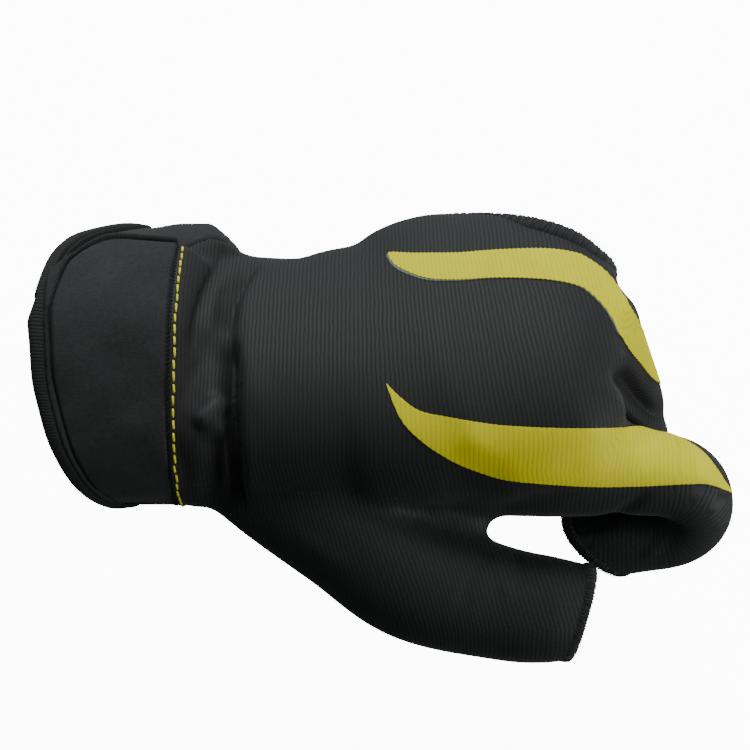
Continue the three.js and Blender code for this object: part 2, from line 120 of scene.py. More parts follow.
def unit(v: Sequence[float]) -> Array:
    """Gives a vector's direction."""
    v = np.asarray(v, float)
    return v / np.linalg.norm(v)


def square_to(v: Sequence[float], axis: Array) -> Array:
    """Gives the direction of a vector's part that is square to an axis."""
    v = np.asarray(v, float)
    return unit(v - axis * (v @ axis))


def smoothstep(x: Array, low: float, high: float) -> Array:
    """Rises smoothly from 0 at low to 1 at high."""
    t = np.clip((np.asarray(x, float) - low) / (high - low), 0.0, 1.0)
    return t * t * (3 - 2 * t)


def row_at(rows: Array, share: float) -> Array:
    """Reads a table at a share of its length.

    Args:
        rows: the table, one row for each place.
        share: from 0, the first row, to 1, the last.

    Returns:
        The Catmull-Rom row at that share.
    """
    place = min(max(share, 0.0), 1.0) * (len(rows) - 1)
    first = min(int(place), len(rows) - 2)
    t = place - first
    a, b, c, d = (rows[min(max(first + k, 0), len(rows) - 1)] for k in (-1, 0, 1, 2))
    bent = (2 * a - 5 * b + 4 * c - d) * t * t
    return 0.5 * (2 * b + (c - a) * t + bent + (3 * b - a - 3 * c + d) * t ** 3)


def even_path(points: Array, count: int, closed: bool) -> Array:
    """Spreads points evenly along a path.

    Args:
        points: the path.
        count: how many points to give.
        closed: whether the path comes round to its start.

    Returns:
        The points, an equal distance apart.
    """
    path = np.vstack([points, points[:1]]) if closed else points
    along = np.concatenate([[0.0], np.cumsum(np.linalg.norm(np.diff(path, axis=0), axis=1))])
    at = np.linspace(0, along[-1], count + 1)[:-1] if closed else np.linspace(0, along[-1], count)
    return np.stack([np.interp(at, along, path[:, k]) for k in range(3)], 1)


def path_length(points: Array, closed: bool = False) -> float:
    """Measures a path."""
    path = np.vstack([points, points[:1]]) if closed else points
    return float(np.linalg.norm(np.diff(path, axis=0), axis=1).sum())


def on_drawing(points: Array) -> Array:
    """Projects points on the drawing plane that the accents and creases are laid out on.

    Args:
        points: places in millimetres.

    Returns:
        One row for each point: along and up the plane, and the height above it.
    """
    d = points - DRAWING_CENTRE
    height = d @ OUTWARD
    scale = DRAWING_DISTANCE / (DRAWING_DISTANCE - height)
    return np.stack([d[:, 0] * scale, (d @ UPWARD) * scale, height], 1)


def to_path(points: Array, path: Array) -> tuple[Array, Array]:
    """Measures how far points of a plane are from a path on it.

    Args:
        points: places on the plane, two columns.
        path: the path's points, two columns.

    Returns:
        The distances, and the share of the path's length that is nearest to each point.
    """
    lengths = np.linalg.norm(np.diff(path, axis=0), axis=1)
    starts = np.concatenate([[0.0], np.cumsum(lengths)])
    best = np.full(len(points), 1e9)
    share = np.zeros(len(points))
    for i, (a, b) in enumerate(zip(path[:-1], path[1:])):
        ab = b - a
        t = np.clip(((points - a) @ ab) / (ab @ ab), 0, 1)
        d = np.linalg.norm(points - (a + t[:, None] * ab), axis=1)
        nearer = d < best
        best[nearer] = d[nearer]
        share[nearer] = (starts[i] + t[nearer] * lengths[i]) / starts[-1]
    return best, share


def inside(points: Array, outline: Array) -> Array:
    """Says which points of a plane lie inside a closed outline."""
    x, y = points[:, 0], points[:, 1]
    odd = np.zeros(len(points), bool)
    for (ax, ay), (bx, by) in zip(outline, np.roll(outline, -1, 0)):
        if ay == by:
            continue
        odd ^= ((ay > y) != (by > y)) & (x < (bx - ax) * (y - ay) / (by - ay) + ax)
    return odd


def fine_outline(rows: Sequence[tuple[float, float, float]], steps: int = 8) -> Array:
    """Turns an accent's table into a smooth closed outline.

    Args:
        rows: at, over and under on the drawing plane, in hand lengths.
        steps: how many points for each row.

    Returns:
        The outline on the drawing plane in millimetres.
    """
    table = np.array(rows) * HAND_LENGTH
    fine = np.array([row_at(table, s) for s in np.linspace(0, 1, steps * (len(table) - 1) + 1)])
    return np.vstack([fine[:, [0, 1]], fine[::-1, :][:, [0, 2]]])


# ---------------------------------------------------------------- meshes


def loft(
    bm: Mesh, rings: Array, closed: bool = True, capped: bool = True
) -> list[bmesh.types.BMVert]:
    """Skins a row of rings.

    Args:
        bm: the mesh that the skin is added to.
        rings: points as (rings, points round, 3), in millimetres.
        closed: whether each ring comes round to its start.
        capped: whether the first and last rings are filled.

    Returns:
        The new vertices, ring by ring.
    """
    count, around = rings.shape[:2]
    segments = around if closed else around - 1
    made = bmesh.ops.create_grid(bm, x_segments=count - 1, y_segments=segments, size=1.0)["verts"]
    for v in made:
        i = round((v.co.x + 1) / 2 * (count - 1))
        j = round((v.co.y + 1) / 2 * segments) % around
        v.co = rings[i, j]
    if closed:
        bmesh.ops.remove_doubles(bm, verts=made, dist=1e-5)
    made = [v for v in made if v.is_valid]
    if capped and closed:
        edges = in_order(e for v in made for e in v.link_edges if e.is_boundary)
        bmesh.ops.holes_fill(bm, edges=edges, sides=0)
    return made


def coordinates(bm: Mesh) -> Array:
    """Gives a mesh's points as an array."""
    return np.array([v.co[:] for v in bm.verts], float).reshape(-1, 3)


def move_to(bm: Mesh, points: Array) -> None:
    """Puts a mesh's vertices at new points."""
    for v, p in zip(bm.verts, points):
        v.co = p


def in_order(parts: Iterable) -> list:
    """Gives parts of a mesh once each, in the order in which they come."""
    return list(dict.fromkeys(parts))


def normals_of(bm: Mesh) -> Array:
    """Gives a mesh's vertex normals as an array."""
    return np.array([v.normal[:] for v in bm.verts])


def soften(bm: Mesh, rounds: int, verts: Optional[list[bmesh.types.BMVert]] = None) -> None:
    """Smooths vertices, or the whole mesh, a number of times."""
    for _ in range(rounds):
        chosen = bm.verts if verts is None else verts
        bmesh.ops.smooth_vert(bm, verts=chosen, factor=0.5, use_axis_x=True, use_axis_y=True, use_axis_z=True)


def cut_off(bm: Mesh, place: Sequence[float], normal: Sequence[float], parts: Optional[list] = None) -> None:
    """Cuts off what lies beyond a plane, of some parts or of the whole mesh."""
    chosen = list(bm.verts) + list(bm.edges) + list(bm.faces) if parts is None else parts
    bmesh.ops.bisect_plane(
        bm, geom=chosen, plane_co=Vector(place), plane_no=Vector(normal), clear_outer=True, dist=1e-4
    )


def linked(name: str, data: bpy.types.ID) -> Piece:
    """Puts data into the scene as an object at the origin."""
    made = bpy.data.objects.new(name, data)
    bpy.context.scene.collection.objects.link(made)
    return made


def as_object(bm: Mesh, name: str, scale: float = METRES) -> Piece:
    """Makes an object of a mesh.

    Args:
        bm: the mesh, which is freed.
        name: the object's name.
        scale: what one unit of the mesh is in metres.

    Returns:
        The object, at the origin.
    """
    bmesh.ops.scale(bm, vec=(scale, scale, scale), verts=bm.verts)
    mesh = bpy.data.meshes.new(name)
    bm.to_mesh(mesh)
    bm.free()
    mesh.shade_smooth()
    return linked(name, mesh)


def remeshed(bm: Mesh, voxel: float) -> Mesh:
    """Joins overlapping closed bodies into one skin.

    Args:
        bm: the bodies, which are freed.
        voxel: the fineness of the skin in millimetres.

    Returns:
        The skin.
    """
    helper = as_object(bm, "helper", 1.0)
    change = helper.modifiers.new("join", "REMESH")
    change.mode = "VOXEL"
    change.voxel_size = voxel
    joined = helper.evaluated_get(bpy.context.evaluated_depsgraph_get()).to_mesh()
    skin = bmesh.new()
    skin.from_mesh(joined)
    mesh = helper.data
    bpy.data.objects.remove(helper)
    bpy.data.meshes.remove(mesh)
    return skin


def put_values(made: Piece, name: str, values: Array) -> None:
    """Keeps one number for each vertex, for the materials to read.

    Args:
        made: the object.
        name: the attribute's name.
        values: one number for each vertex.
    """
    attribute = made.data.attributes.new(name, "FLOAT", "POINT")
    attribute.data.foreach_set("value", np.asarray(values, np.float32))


def boundary_loops(bm: Mesh) -> list[list[bmesh.types.BMVert]]:
    """Gives the closed loops of a mesh's open edges, each in order."""
    edges = dict.fromkeys(e for e in bm.edges if e.is_boundary)
    loops = []
    while edges:
        edge = next(iter(edges))
        del edges[edge]
        loop = [edge.verts[0], edge.verts[1]]
        while True:
            ahead = next((e for e in loop[-1].link_edges if e in edges), None)
            if ahead is None:
                break
            del edges[ahead]
            loop.append(ahead.other_vert(loop[-1]))
        if loop[0] is loop[-1]:
            loop.pop()
        loops.append(loop)
    return loops


def finish_piece(
    made: Piece, finish: Finish, nodes: Iterable[str] = ()
) -> Piece:
    """Dresses a piece and ties it to the frame.

    Args:
        made: the piece.
        finish: its material.
        nodes: the solids that it stands for.

    Returns:
        The piece.
    """
    made.data.materials.append(finish)
    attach(made, "root")
    if nodes:
        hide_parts(*nodes)
    triangles = sum(len(p.vertices) - 2 for p in made.data.polygons)
    log.info("%s: %d triangles", made.name, triangles)
    return made


# ---------------------------------------------------------------- finishes


class NodeGraph:
    """A material's nodes, with short ways to add them."""

    def __init__(self, name: str) -> None:
        """Starts a material that holds a shader and an output."""
        self.material = bpy.data.materials.new(name)
        self.material.use_nodes = True
        self.tree = self.material.node_tree
        self.tree.nodes.clear()
        self.shader = self.tree.nodes.new("ShaderNodeBsdfPrincipled")
        self.output = self.tree.nodes.new("ShaderNodeOutputMaterial")
        self.tree.links.new(self.shader.outputs["BSDF"], self.output.inputs["Surface"])
        self.place = self.tree.nodes.new("ShaderNodeTexCoord").outputs["Object"]

    def put(self, target: Socket, value: object) -> None:
        """Links or sets a socket."""
        if isinstance(value, Socket):
            self.tree.links.new(value, target)
        else:
            target.default_value = value

    def math(self, operation: str, *values: object) -> Socket:
        """Adds a Math node and gives its result."""
        node = self.tree.nodes.new("ShaderNodeMath")
        node.operation = operation
        for target, value in zip(node.inputs, values):
            self.put(target, value)
        return node.outputs[0]

    def add(self, a: object, b: object) -> Socket:
        """Adds two numbers."""
        return self.math("ADD", a, b)

    def less(self, a: object, b: object) -> Socket:
        """Takes the second number from the first."""
        return self.math("SUBTRACT", a, b)

    def times(self, a: object, b: object) -> Socket:
        """Multiplies two numbers."""
        return self.math("MULTIPLY", a, b)

    def value(self, name: str) -> Socket:
        """Reads one of the piece's own numbers."""
        node = self.tree.nodes.new("ShaderNodeAttribute")
        node.attribute_name = name
        return node.outputs["Fac"]

    def noise(self, scale: float, detail: float = 2.0, rough: float = 0.5) -> Socket:
        """Adds a noise with so many cells to the metre."""
        node = self.tree.nodes.new("ShaderNodeTexNoise")
        self.put(node.inputs["Vector"], self.place)
        node.inputs["Scale"].default_value = scale
        node.inputs["Detail"].default_value = detail
        node.inputs["Roughness"].default_value = rough
        return node.outputs["Fac"]

    def span(
        self, value: object, a: float, b: float, low: float = 0.0, high: float = 1.0, smooth: bool = False
    ) -> Socket:
        """Maps a number from one range to another."""
        node = self.tree.nodes.new("ShaderNodeMapRange")
        node.interpolation_type = "SMOOTHSTEP" if smooth else "LINEAR"
        for target, v in zip(node.inputs, (value, a, b, low, high)):
            self.put(target, v)
        return node.outputs[0]

    def mix(self, share: object, a: object, b: object) -> Socket:
        """Mixes two colours."""
        node = self.tree.nodes.new("ShaderNodeMix")
        node.data_type = "RGBA"
        self.put(node.inputs[0], share)
        for target, value in zip((node.inputs[6], node.inputs[7]), (a, b)):
            self.put(target, value if isinstance(value, Socket) else (*value, 1.0))
        return node.outputs[2]

    def ridge(self, along: object, pitch: float) -> Socket:
        """Gives rounded ridges a pitch apart: 1 on a crest and 0 in a groove."""
        phase = self.math("FRACT", self.math("DIVIDE", along, pitch))
        centred = self.math("ABSOLUTE", self.less(phase, 0.5))
        return self.less(1.0, self.math("POWER", self.times(centred, 2.0), 2.0))

    def bump(self, height: object, distance: float, strength: float = 1.0) -> None:
        """Gives the shader a relief.

        Args:
            height: the relief, from 0 to 1.
            distance: its depth in millimetres.
            strength: how much of it shows.
        """
        node = self.tree.nodes.new("ShaderNodeBump")
        node.inputs["Strength"].default_value = strength
        node.inputs["Distance"].default_value = distance * METRES
        self.put(node.inputs["Height"], height)
        self.put(self.shader.inputs["Normal"], node.outputs[0])

    def surface(
        self, colour: object, roughness: object, sheen: float = 0.0, sheen_tint: Sequence[float] = (1, 1, 1),
        sheen_rough: float = 0.4, specular: float = 0.3,
    ) -> Finish:
        """Sets the shader's colour and gloss and gives the material."""
        self.put(self.shader.inputs["Base Color"], colour if isinstance(colour, Socket) else (*colour, 1))
        self.put(self.shader.inputs["Roughness"], roughness)
        self.shader.inputs["Sheen Weight"].default_value = sheen
        self.shader.inputs["Sheen Roughness"].default_value = sheen_rough
        self.shader.inputs["Sheen Tint"].default_value = (*sheen_tint, 1)
        self.shader.inputs["Specular IOR Level"].default_value = specular
        return self.material


@dataclass(frozen=True)
class KnitFinish:
    """Ribbed stretch knit: ribs run round the hand and the yarn's loops show along them."""

    groove: Colour = (0.0062, 0.0073, 0.0075)
    crest: Colour = (0.0112, 0.0131, 0.0136)
    # lighter knit colour painted on the creases' ridges as a painted highlight
    painted_ridge_light: Colour = (0.024, 0.0275, 0.0285)
    pitch: float = 1.1
    loop: float = 0.62
    depth: float = 0.07

    def material(self, name: str = "ribbed_knit") -> Finish:
        """Makes the knit's material."""
        g = NodeGraph(name)
        wander = g.span(g.noise(170, 2), 0.3, 0.7, -0.16, 0.16)
        along = g.add(g.value("rib"), wander)
        rib = g.ridge(along, self.pitch)
        row = g.math("FLOOR", g.math("DIVIDE", along, self.pitch))
        loops = g.ridge(g.add(g.value("round"), g.times(row, 0.31)), self.loop)
        yarn = g.noise(3200, 2, 0.7)
        body = g.times(rib, g.span(loops, 0, 1, 0.66, 1.0))
        body = g.times(body, g.span(yarn, 0.3, 0.7, 0.72, 1.15))
        height = g.add(body, g.times(yarn, 0.3))
        worn = g.span(g.noise(38, 3, 0.6), 0.32, 0.68, 0.72, 1.12)
        colour = g.mix(g.times(g.math("POWER", body, 1.6), worn), self.groove, self.crest)
        fold = g.value("fold")
        # painted highlight: the knit turns lighter on the creases' ridges
        colour = g.mix(g.span(fold, 0.2, 2.6, 0.0, 0.75, True), colour, self.painted_ridge_light)
        # painted shade: the knit turns near black in the creases' valleys
        colour = g.mix(g.span(fold, -3.6, -0.1, 0.85, 0.0, True), colour, (0.001, 0.0012, 0.0012))
        g.bump(height, self.depth, 0.9)
        rough = g.span(rib, 0, 1, 0.82, 0.62)
        return g.surface(colour, rough, 0.05, (0.85, 1.0, 1.0), 0.4, 0.25)


@dataclass(frozen=True)
class FilmFinish:
    """Matt print film that is drawn over the ribs, which show through it."""

    colour: Colour = (0.61, 0.58, 0.012)
    hollow: Colour = (0.44, 0.4, 0.008)
    pitch: float = 1.1

    def material(self, name: str = "print_film") -> Finish:
        """Makes the film's material."""
        g = NodeGraph(name)
        wander = g.span(g.noise(170, 2), 0.3, 0.7, -0.16, 0.16)
        rib = g.ridge(g.add(g.value("rib"), wander), self.pitch)
        mottle = g.span(g.noise(90, 4, 0.65), 0.3, 0.7, -0.2, 0.2)
        grain = g.noise(4200, 1)
        shade = g.add(g.add(g.times(rib, 0.4), mottle), g.times(grain, 0.5))
        g.bump(g.add(rib, g.times(grain, 0.4)), 0.05, 0.8)
        colour = g.mix(shade, self.hollow, self.colour)
        return g.surface(colour, g.span(rib, 0, 1, 0.75, 0.62), 0.0, (1, 1, 0.9), 0.5, 0.1)


@dataclass(frozen=True)
class CuffFinish:
    """Smooth close-knit face of the cuff over thin foam."""

    low: Colour = (0.0065, 0.0077, 0.0078)
    high: Colour = (0.0205, 0.0233, 0.0236)

    def material(self, name: str = "cuff_cloth") -> Finish:
        """Makes the cuff's material."""
        g = NodeGraph(name)
        wale = g.ridge(g.value("round"), 0.5)
        course = g.ridge(g.value("rib"), 0.42)
        weave = g.times(wale, course)
        yarn = g.span(g.noise(2300, 3, 0.75), 0.3, 0.7)
        mottle = g.noise(52, 4, 0.6)
        lint = g.span(g.noise(900, 1), 0.7, 0.78, 0, 1)
        heather = g.span(g.noise(700, 3, 0.7), 0.3, 0.7, -0.16, 0.16)
        shade = g.add(g.span(mottle, 0.3, 0.7, -0.02, 0.5), g.times(yarn, 0.7))
        shade = g.add(g.add(shade, heather), g.times(lint, 0.3))
        # painted shade: the cloth is darkened and turns near black along its edge, where it tucks under the tape
        sewn = g.span(g.value("edge"), 0.25, 1.5, 0.12, 1.0, True)
        shade = g.times(shade, sewn)
        g.bump(g.add(g.times(weave, 0.6), yarn), 0.06, 0.8)
        colour = g.mix(shade, self.low, self.high)
        return g.surface(g.mix(sewn, PAINTED_GROOVE_SHADE, colour), 0.8, 0.05, (0.85, 1.0, 1.0), 0.45, 0.22)


@dataclass(frozen=True)
class TapeFinish:
    """Binding tape with fine ribs square to its edge."""

    groove: Colour = (0.0032, 0.0037, 0.0038)
    crest: Colour = (0.0088, 0.0102, 0.0105)
    pitch: float = 0.68
    # middle of the painted groove shade, in millimetres behind the rim
    sewn_at: float = 3.72

    def material(self, name: str = "binding_tape") -> Finish:
        """Makes the tape's material."""
        g = NodeGraph(name)
        wander = g.span(g.noise(400, 1), 0.3, 0.7, -0.08, 0.08)
        rib = g.ridge(g.add(g.value("rib"), wander), self.pitch)
        yarn = g.noise(4800, 1)
        flat = g.value("flat")
        # painted shade: the tape turns near black along its sewn groove, fading out within about 0.4 mm to each side
        aside = g.math("ABSOLUTE", g.less(g.value("edge"), self.sewn_at))
        clear = g.span(aside, 0.05, 0.42, 0.0, 1.0, True)
        height = g.add(g.times(rib, g.less(1.0, flat)), g.times(yarn, 0.18))
        g.bump(g.add(height, g.times(clear, 2.0)), 0.12, 0.9)
        colour = g.mix(g.math("MAXIMUM", g.times(rib, 0.9), g.times(flat, 0.85)), self.groove, self.crest)
        return g.surface(g.mix(clear, PAINTED_GROOVE_SHADE, colour), 0.75, 0.05, (0.85, 1.0, 1.0), 0.45, 0.22)


@dataclass(frozen=True)
class HemFinish:
    """Cloth of a turned hem, matt from wear."""

    dark: Colour = (0.004, 0.0042, 0.0046)
    light: Colour = (0.015, 0.016, 0.0178)

    def material(self, name: str = "hem_cloth") -> Finish:
        """Makes the hem's material."""
        g = NodeGraph(name)
        rib = g.ridge(g.value("rib"), 0.62)
        yarn = g.noise(2600, 3, 0.7)
        shade = g.times(g.add(rib, 0.2), g.span(yarn, 0.25, 0.75, 0.2, 1.0))
        g.bump(g.add(g.times(rib, 0.6), g.times(yarn, 0.8)), 0.2, 0.9)
        return g.surface(g.mix(shade, self.dark, self.light), 0.85, 0.12, (0.85, 0.9, 1.0), 0.5, 0.25)


@dataclass(frozen=True)
class ThreadFinish:
    """Twisted sewing thread."""

    dark: Colour
    light: Colour
    rough: float = 0.6

    def material(self, name: str) -> Finish:
        """Makes the thread's material."""
        g = NodeGraph(name)
        strand = g.noise(6400, 2)
        mottle = g.noise(260, 1)
        shade = g.add(g.times(strand, 0.7), g.times(mottle, 0.4))
        g.bump(strand, 0.06, 0.7)
        return g.surface(g.mix(shade, self.dark, self.light), self.rough, 0.08, (1, 1, 1), 0.4, 0.15)


@dataclass(frozen=True)
class HookFinish:
    """Closure tape, a field of tiny hooks."""

    dark: Colour = (0.004, 0.004, 0.0045)
    light: Colour = (0.03, 0.03, 0.032)

    def material(self, name: str = "closure_tape") -> Finish:
        """Makes the closure's material."""
        g = NodeGraph(name)
        cells = g.tree.nodes.new("ShaderNodeTexVoronoi")
        g.put(cells.inputs["Vector"], g.place)
        cells.inputs["Scale"].default_value = 1100
        hook = g.span(cells.outputs["Distance"], 0.0, 0.5, 1.0, 0.0)
        g.bump(hook, 0.4, 0.8)
        return g.surface(g.mix(hook, self.dark, self.light), 0.6, 0.1, (1, 1, 1), 0.5, 0.35)


@dataclass(frozen=True)
class FloorFinish:
    """Plain pale sweep under the glove, lit through like a light table."""

    colour: Colour = (0.93, 0.93, 0.93)
    glow: float = 11.0

    def material(self, name: str = "pale_floor") -> Finish:
        """Makes the floor's material."""
        g = NodeGraph(name)
        g.shader.inputs["Emission Color"].default_value = (1, 1, 1, 1)
        g.shader.inputs["Emission Strength"].default_value = self.glow
        return g.surface(self.colour, 0.9, specular=0.1)


# ---------------------------------------------------------------- the form that the knit lies on


@dataclass(frozen=True)
class Fold:
    """One soft fold of the knit near the wrist, placed round the hand."""

    along: float
    turn: float
    spread: float
    slant: float
    width: float
    rise: float

    def rise_at(self, x: float, turns: Array) -> Array:
        """Gives the cloth's rise at a place along the hand and at turns round it."""
        near = ((turns - self.turn + 180) % 360 - 180) / self.spread
        line = SEAM_X + (self.along + self.slant * near * np.abs(near)) * HAND_LENGTH
        return self.rise * np.exp(-(((x - line) / (self.width * HAND_LENGTH)) ** 2) - near * near)


@dataclass
class Limb:
    """A hand, finger, thumb or web of the form: sections along a line."""

    rows: Array
    hinge: Array
    folds: tuple[Fold, ...] = ()
    around: int = 96

    def frame_at(self, share: float) -> tuple[Array, Array, Array, Array]:
        """Gives the row and the directions ahead, back and side at a share of the length."""
        row = row_at(self.rows, share)
        ahead = unit(row_at(self.rows, share + 0.012)[:3] - row_at(self.rows, share - 0.012)[:3])
        back = unit(np.cross(ahead, self.hinge))
        return row, ahead, back, unit(np.cross(back, ahead))

    def ring(self, share: float, grow: float = 0.0, shift: float = 0.0, around: Optional[int] = None) -> Array:
        """Gives one section.

        Args:
            share: where, as a share of the length.
            grow: how far outside the form.
            shift: how far ahead.
            around: how many points.

        Returns:
            The section's points.
        """
        row, ahead, back, side = self.frame_at(share)
        angles = np.linspace(0, 2 * math.pi, around or self.around, endpoint=False)
        extra = np.full(len(angles), grow)
        for fold in self.folds:
            extra += fold.rise_at(row[0], np.degrees(angles))
        c, s = np.cos(angles), np.sin(angles)
        across = np.sign(c) * np.abs(c) ** (2 / SQUARENESS) * (row[Column.WIDE.value] + extra)
        deep = row[Column.DEEP.value] + extra
        reach = np.where(s < 0, np.minimum(deep, row[Column.INNER.value] + 0.7 * extra), deep)
        up = np.sign(s) * np.abs(s) ** (2 / SQUARENESS) * reach
        ahead_by = shift - row[Column.LEAN.value] * up
        return row[:3] + across[:, None] * side + up[:, None] * back + ahead_by[:, None] * ahead

    def add_to(self, bm: Mesh, sections: int, past: float = 0.0) -> None:
        """Adds the limb as a closed body, reaching on past its end."""
        rings = [self.ring(s) for s in np.linspace(0, 1, sections)]
        if past > 0:
            rings.append(self.ring(1.0, 0.0, past))
        loft(bm, np.array(rings))


@dataclass
class FingerPath:
    """A finger's line: a straight length, a fold back under itself and a second length."""

    root: tuple[float, float, float]
    ahead: Array
    hinge: Array
    first: float
    radius: float
    turn: float
    last: float
    girths: tuple[tuple[float, float], ...]
    lean: float
    crease: float = 1.5

    def rows(self, steps: int = 24) -> Array:
        """Works out the finger's rows from its line and girths."""
        fold = math.radians(self.turn)
        arc = self.radius * fold
        total = self.first + arc + self.last
        root = np.array([SEAM_X + self.root[0] * HAND_LENGTH, self.root[1] * HAND_BREADTH, self.root[2] * HAND_DEPTH])
        inward = unit(np.cross(self.hinge, self.ahead))
        returning = self.ahead * math.cos(fold) + inward * math.sin(fold)
        made = []
        for i in range(steps + 1):
            run = total * i / steps
            turned = min(max((run - self.first) / self.radius, 0.0), fold)
            over = max(0.0, run - self.first - arc)
            p = root + self.ahead * (min(run, self.first) + self.radius * math.sin(turned))
            p = p + inward * self.radius * (1 - math.cos(turned)) + returning * over
            wide, deep = row_at(np.array(self.girths), i / steps) * FINGER_WIDTH
            apart = max(self.first - run, over, 0.0)
            inner = self.radius - self.crease + apart * math.tan((math.pi - fold) / 2)
            made.append([*p, wide, deep, self.lean * over / self.last, inner])
        return np.array(made)


def thumb_rows(table: Sequence[Row]) -> Array:
    """Turns rows of along, across, up, wide, deep and lean into millimetres."""
    return np.array([
        [SEAM_X + a * THUMB_LENGTH, c * HAND_BREADTH, u * HAND_BREADTH, w * THUMB_WIDTH, d * THUMB_WIDTH, lean, 1e6]
        for a, c, u, w, d, lean in table
    ])


@dataclass
class HandForm:
    """The form that the knit lies on.

    Its tables are the solids', but for two rows of the hand's limb (0.537 and 0.637 along) and the last
    two of the thumb's, which are the scene's own.
    """

    hand_table: tuple[Row, ...] = (
        (-0.06, -0.025, -0.02, 0.405, 0.51), (0.0, -0.03, -0.02, 0.403, 0.51), (0.107, -0.058, -0.01, 0.398, 0.46),
        (0.187, -0.066, 0.0, 0.385, 0.46), (0.317, -0.076, 0.01, 0.382, 0.46), (0.417, -0.06, 0.02, 0.412, 0.46),
        (0.537, -0.057, 0.04, 0.431, 0.46), (0.637, -0.02, 0.075, 0.485, 0.455), (0.737, -0.012, 0.09, 0.476, 0.44),
        (0.857, -0.005, 0.12, 0.465, 0.43), (0.957, 0.013, 0.14, 0.44, 0.39), (1.02, 0.018, 0.14, 0.385, 0.31),
        (1.05, 0.02, 0.13, 0.29, 0.19),
    )
    thumb_table: tuple[Row, ...] = (
        (0.085, -0.235, -0.11, 0.4, 0.37, 0), (0.274, -0.345, -0.146, 0.46, 0.46, 0),
        (0.463, -0.45, -0.2, 0.515, 0.5, 0),
        (0.64, -0.555, -0.27, 0.535, 0.5, 0), (0.863, -0.61, -0.306, 0.485, 0.455, 0),
        (0.985, -0.63, -0.312, 0.45, 0.43, -0.1), (1.077, -0.636, -0.316, 0.38, 0.38, -0.22),
    )
    web_table: tuple[Row, ...] = (
        (0.274, -0.205, -0.11, 0.33, 0.3, 0), (0.452, -0.285, -0.136, 0.47, 0.43, 0),
        (0.63, -0.364, -0.17, 0.5, 0.4, 0),
        (0.741, -0.42, -0.205, 0.43, 0.33, 0), (0.819, -0.45, -0.227, 0.3, 0.23, 0),
    )
    folds: tuple[Fold, ...] = (
        Fold(0.05, 78, 30, -0.045, 0.022, -1.1), Fold(0.105, 95, 36, -0.02, 0.02, -1.0),
        Fold(0.075, 140, 16, 0.0, 0.035, 1.3), Fold(0.08, 168, 16, 0.02, 0.04, -1.9),
        Fold(0.155, 150, 40, 0.0, 0.025, 1.4), Fold(0.17, 72, 26, -0.05, 0.025, 0.6),
    )
    softened: tuple[tuple[tuple[float, float], tuple[float, float], int], ...] = (
        ((26.5, -27.0), (10.0, 10.0), 110), ((56.0, -23.0), (15.0, 12.0), 60), ((61.0, -2.0), (13.0, 15.0), 110),
    )
    rounds_before: int = 4
    rounds_over_all: int = 3
    rounds_of_hand: int = 13
    fingers_from: float = 116.0
    side_turn: float = 61.5
    side_reach: float = 81.6
    limbs: dict[str, Limb] = field(default_factory=dict)

    def __post_init__(self) -> None:
        """Builds the five limbs."""
        index_ahead = unit((0.982, -0.076, -0.178))
        index_hinge = square_to((0.042, 0.981, -0.188), index_ahead)
        middle_ahead = unit((0.35, -0.15, -0.92))
        middle_hinge = square_to((0, 1, -0.1), middle_ahead)
        index = FingerPath(
            (0.607, -0.284, 0.02), index_ahead, index_hinge, 59, 8.7, 152.4, 17,
            ((0.41, 0.55), (0.55, 0.7), (0.61, 0.78), (0.57, 0.65), (0.5, 0.5), (0.48, 0.47),
             (0.47, 0.45), (0.45, 0.43), (0.44, 0.42)),
            0.75,
        )
        middle = FingerPath(
            (0.982, 0.016, 0.34), middle_ahead, middle_hinge, 39, 9, 100, 16,
            ((0.5, 0.42), (0.57, 0.53), (0.56, 0.55), (0.54, 0.55), (0.5, 0.5), (0.49, 0.48),
             (0.47, 0.45), (0.45, 0.43)),
            0.0,
        )
        hand = np.array([
            [SEAM_X + a * HAND_LENGTH, c * HAND_BREADTH, u * HAND_DEPTH, w * HAND_BREADTH, d * HAND_DEPTH, 0, 1e6]
            for a, c, u, w, d in self.hand_table
        ])
        self.limbs = {
            "hand": Limb(hand, np.array([0.0, 1, 0]), self.folds, 220),
            "index": Limb(index.rows(), index_hinge),
            "middle": Limb(middle.rows(), middle_hinge),
            "thumb": Limb(thumb_rows(self.thumb_table), unit((0.3, 0.6, -0.75)), (), 120),
            "web": Limb(thumb_rows(self.web_table), unit((0.3, 0.8, 0.5)), (), 96),
        }

    @property
    def side_normal(self) -> Array:
        """Direction in which the opening for the last two fingers looks."""
        turn = math.radians(self.side_turn)
        return np.array([math.cos(turn), math.sin(turn), 0.0])

    def skin(self, voxel: float) -> Mesh:
        """Makes the whole closed form as one smooth skin.

        Args:
            voxel: its fineness in millimetres.

        Returns:
            The skin.
        """
        bm = bmesh.new()
        for name, limb in self.limbs.items():
            limb.add_to(bm, 70 if name == "hand" else 60, TIPS_PAST.get(name, 0.0))
        bmesh.ops.recalc_face_normals(bm, faces=bm.faces)
        skin = remeshed(bm, voxel)
        soften(skin, self.rounds_before)
        skin = remeshed(skin, voxel)
        soften(skin, self.rounds_over_all)
        for _ in range(self.rounds_of_hand):
            soften(skin, 1, [v for v in skin.verts if v.co.x < self.fingers_from])
        for middle, reach, steps in self.softened:
            drawn = on_drawing(coordinates(skin))
            away = np.hypot(*((drawn[:, :2] - middle) / reach).T) + np.where(drawn[:, 2] > -14, 0, 9)
            ranked = sorted((float(a), i) for i, a in enumerate(away) if a < 1)
            skin.verts.ensure_lookup_table()
            for step in range(steps):
                near = 1 - 0.55 * step / steps
                soften(skin, 1, [skin.verts[i] for a, i in ranked if a < near])
        return skin


# ---------------------------------------------------------------- creases of the knit


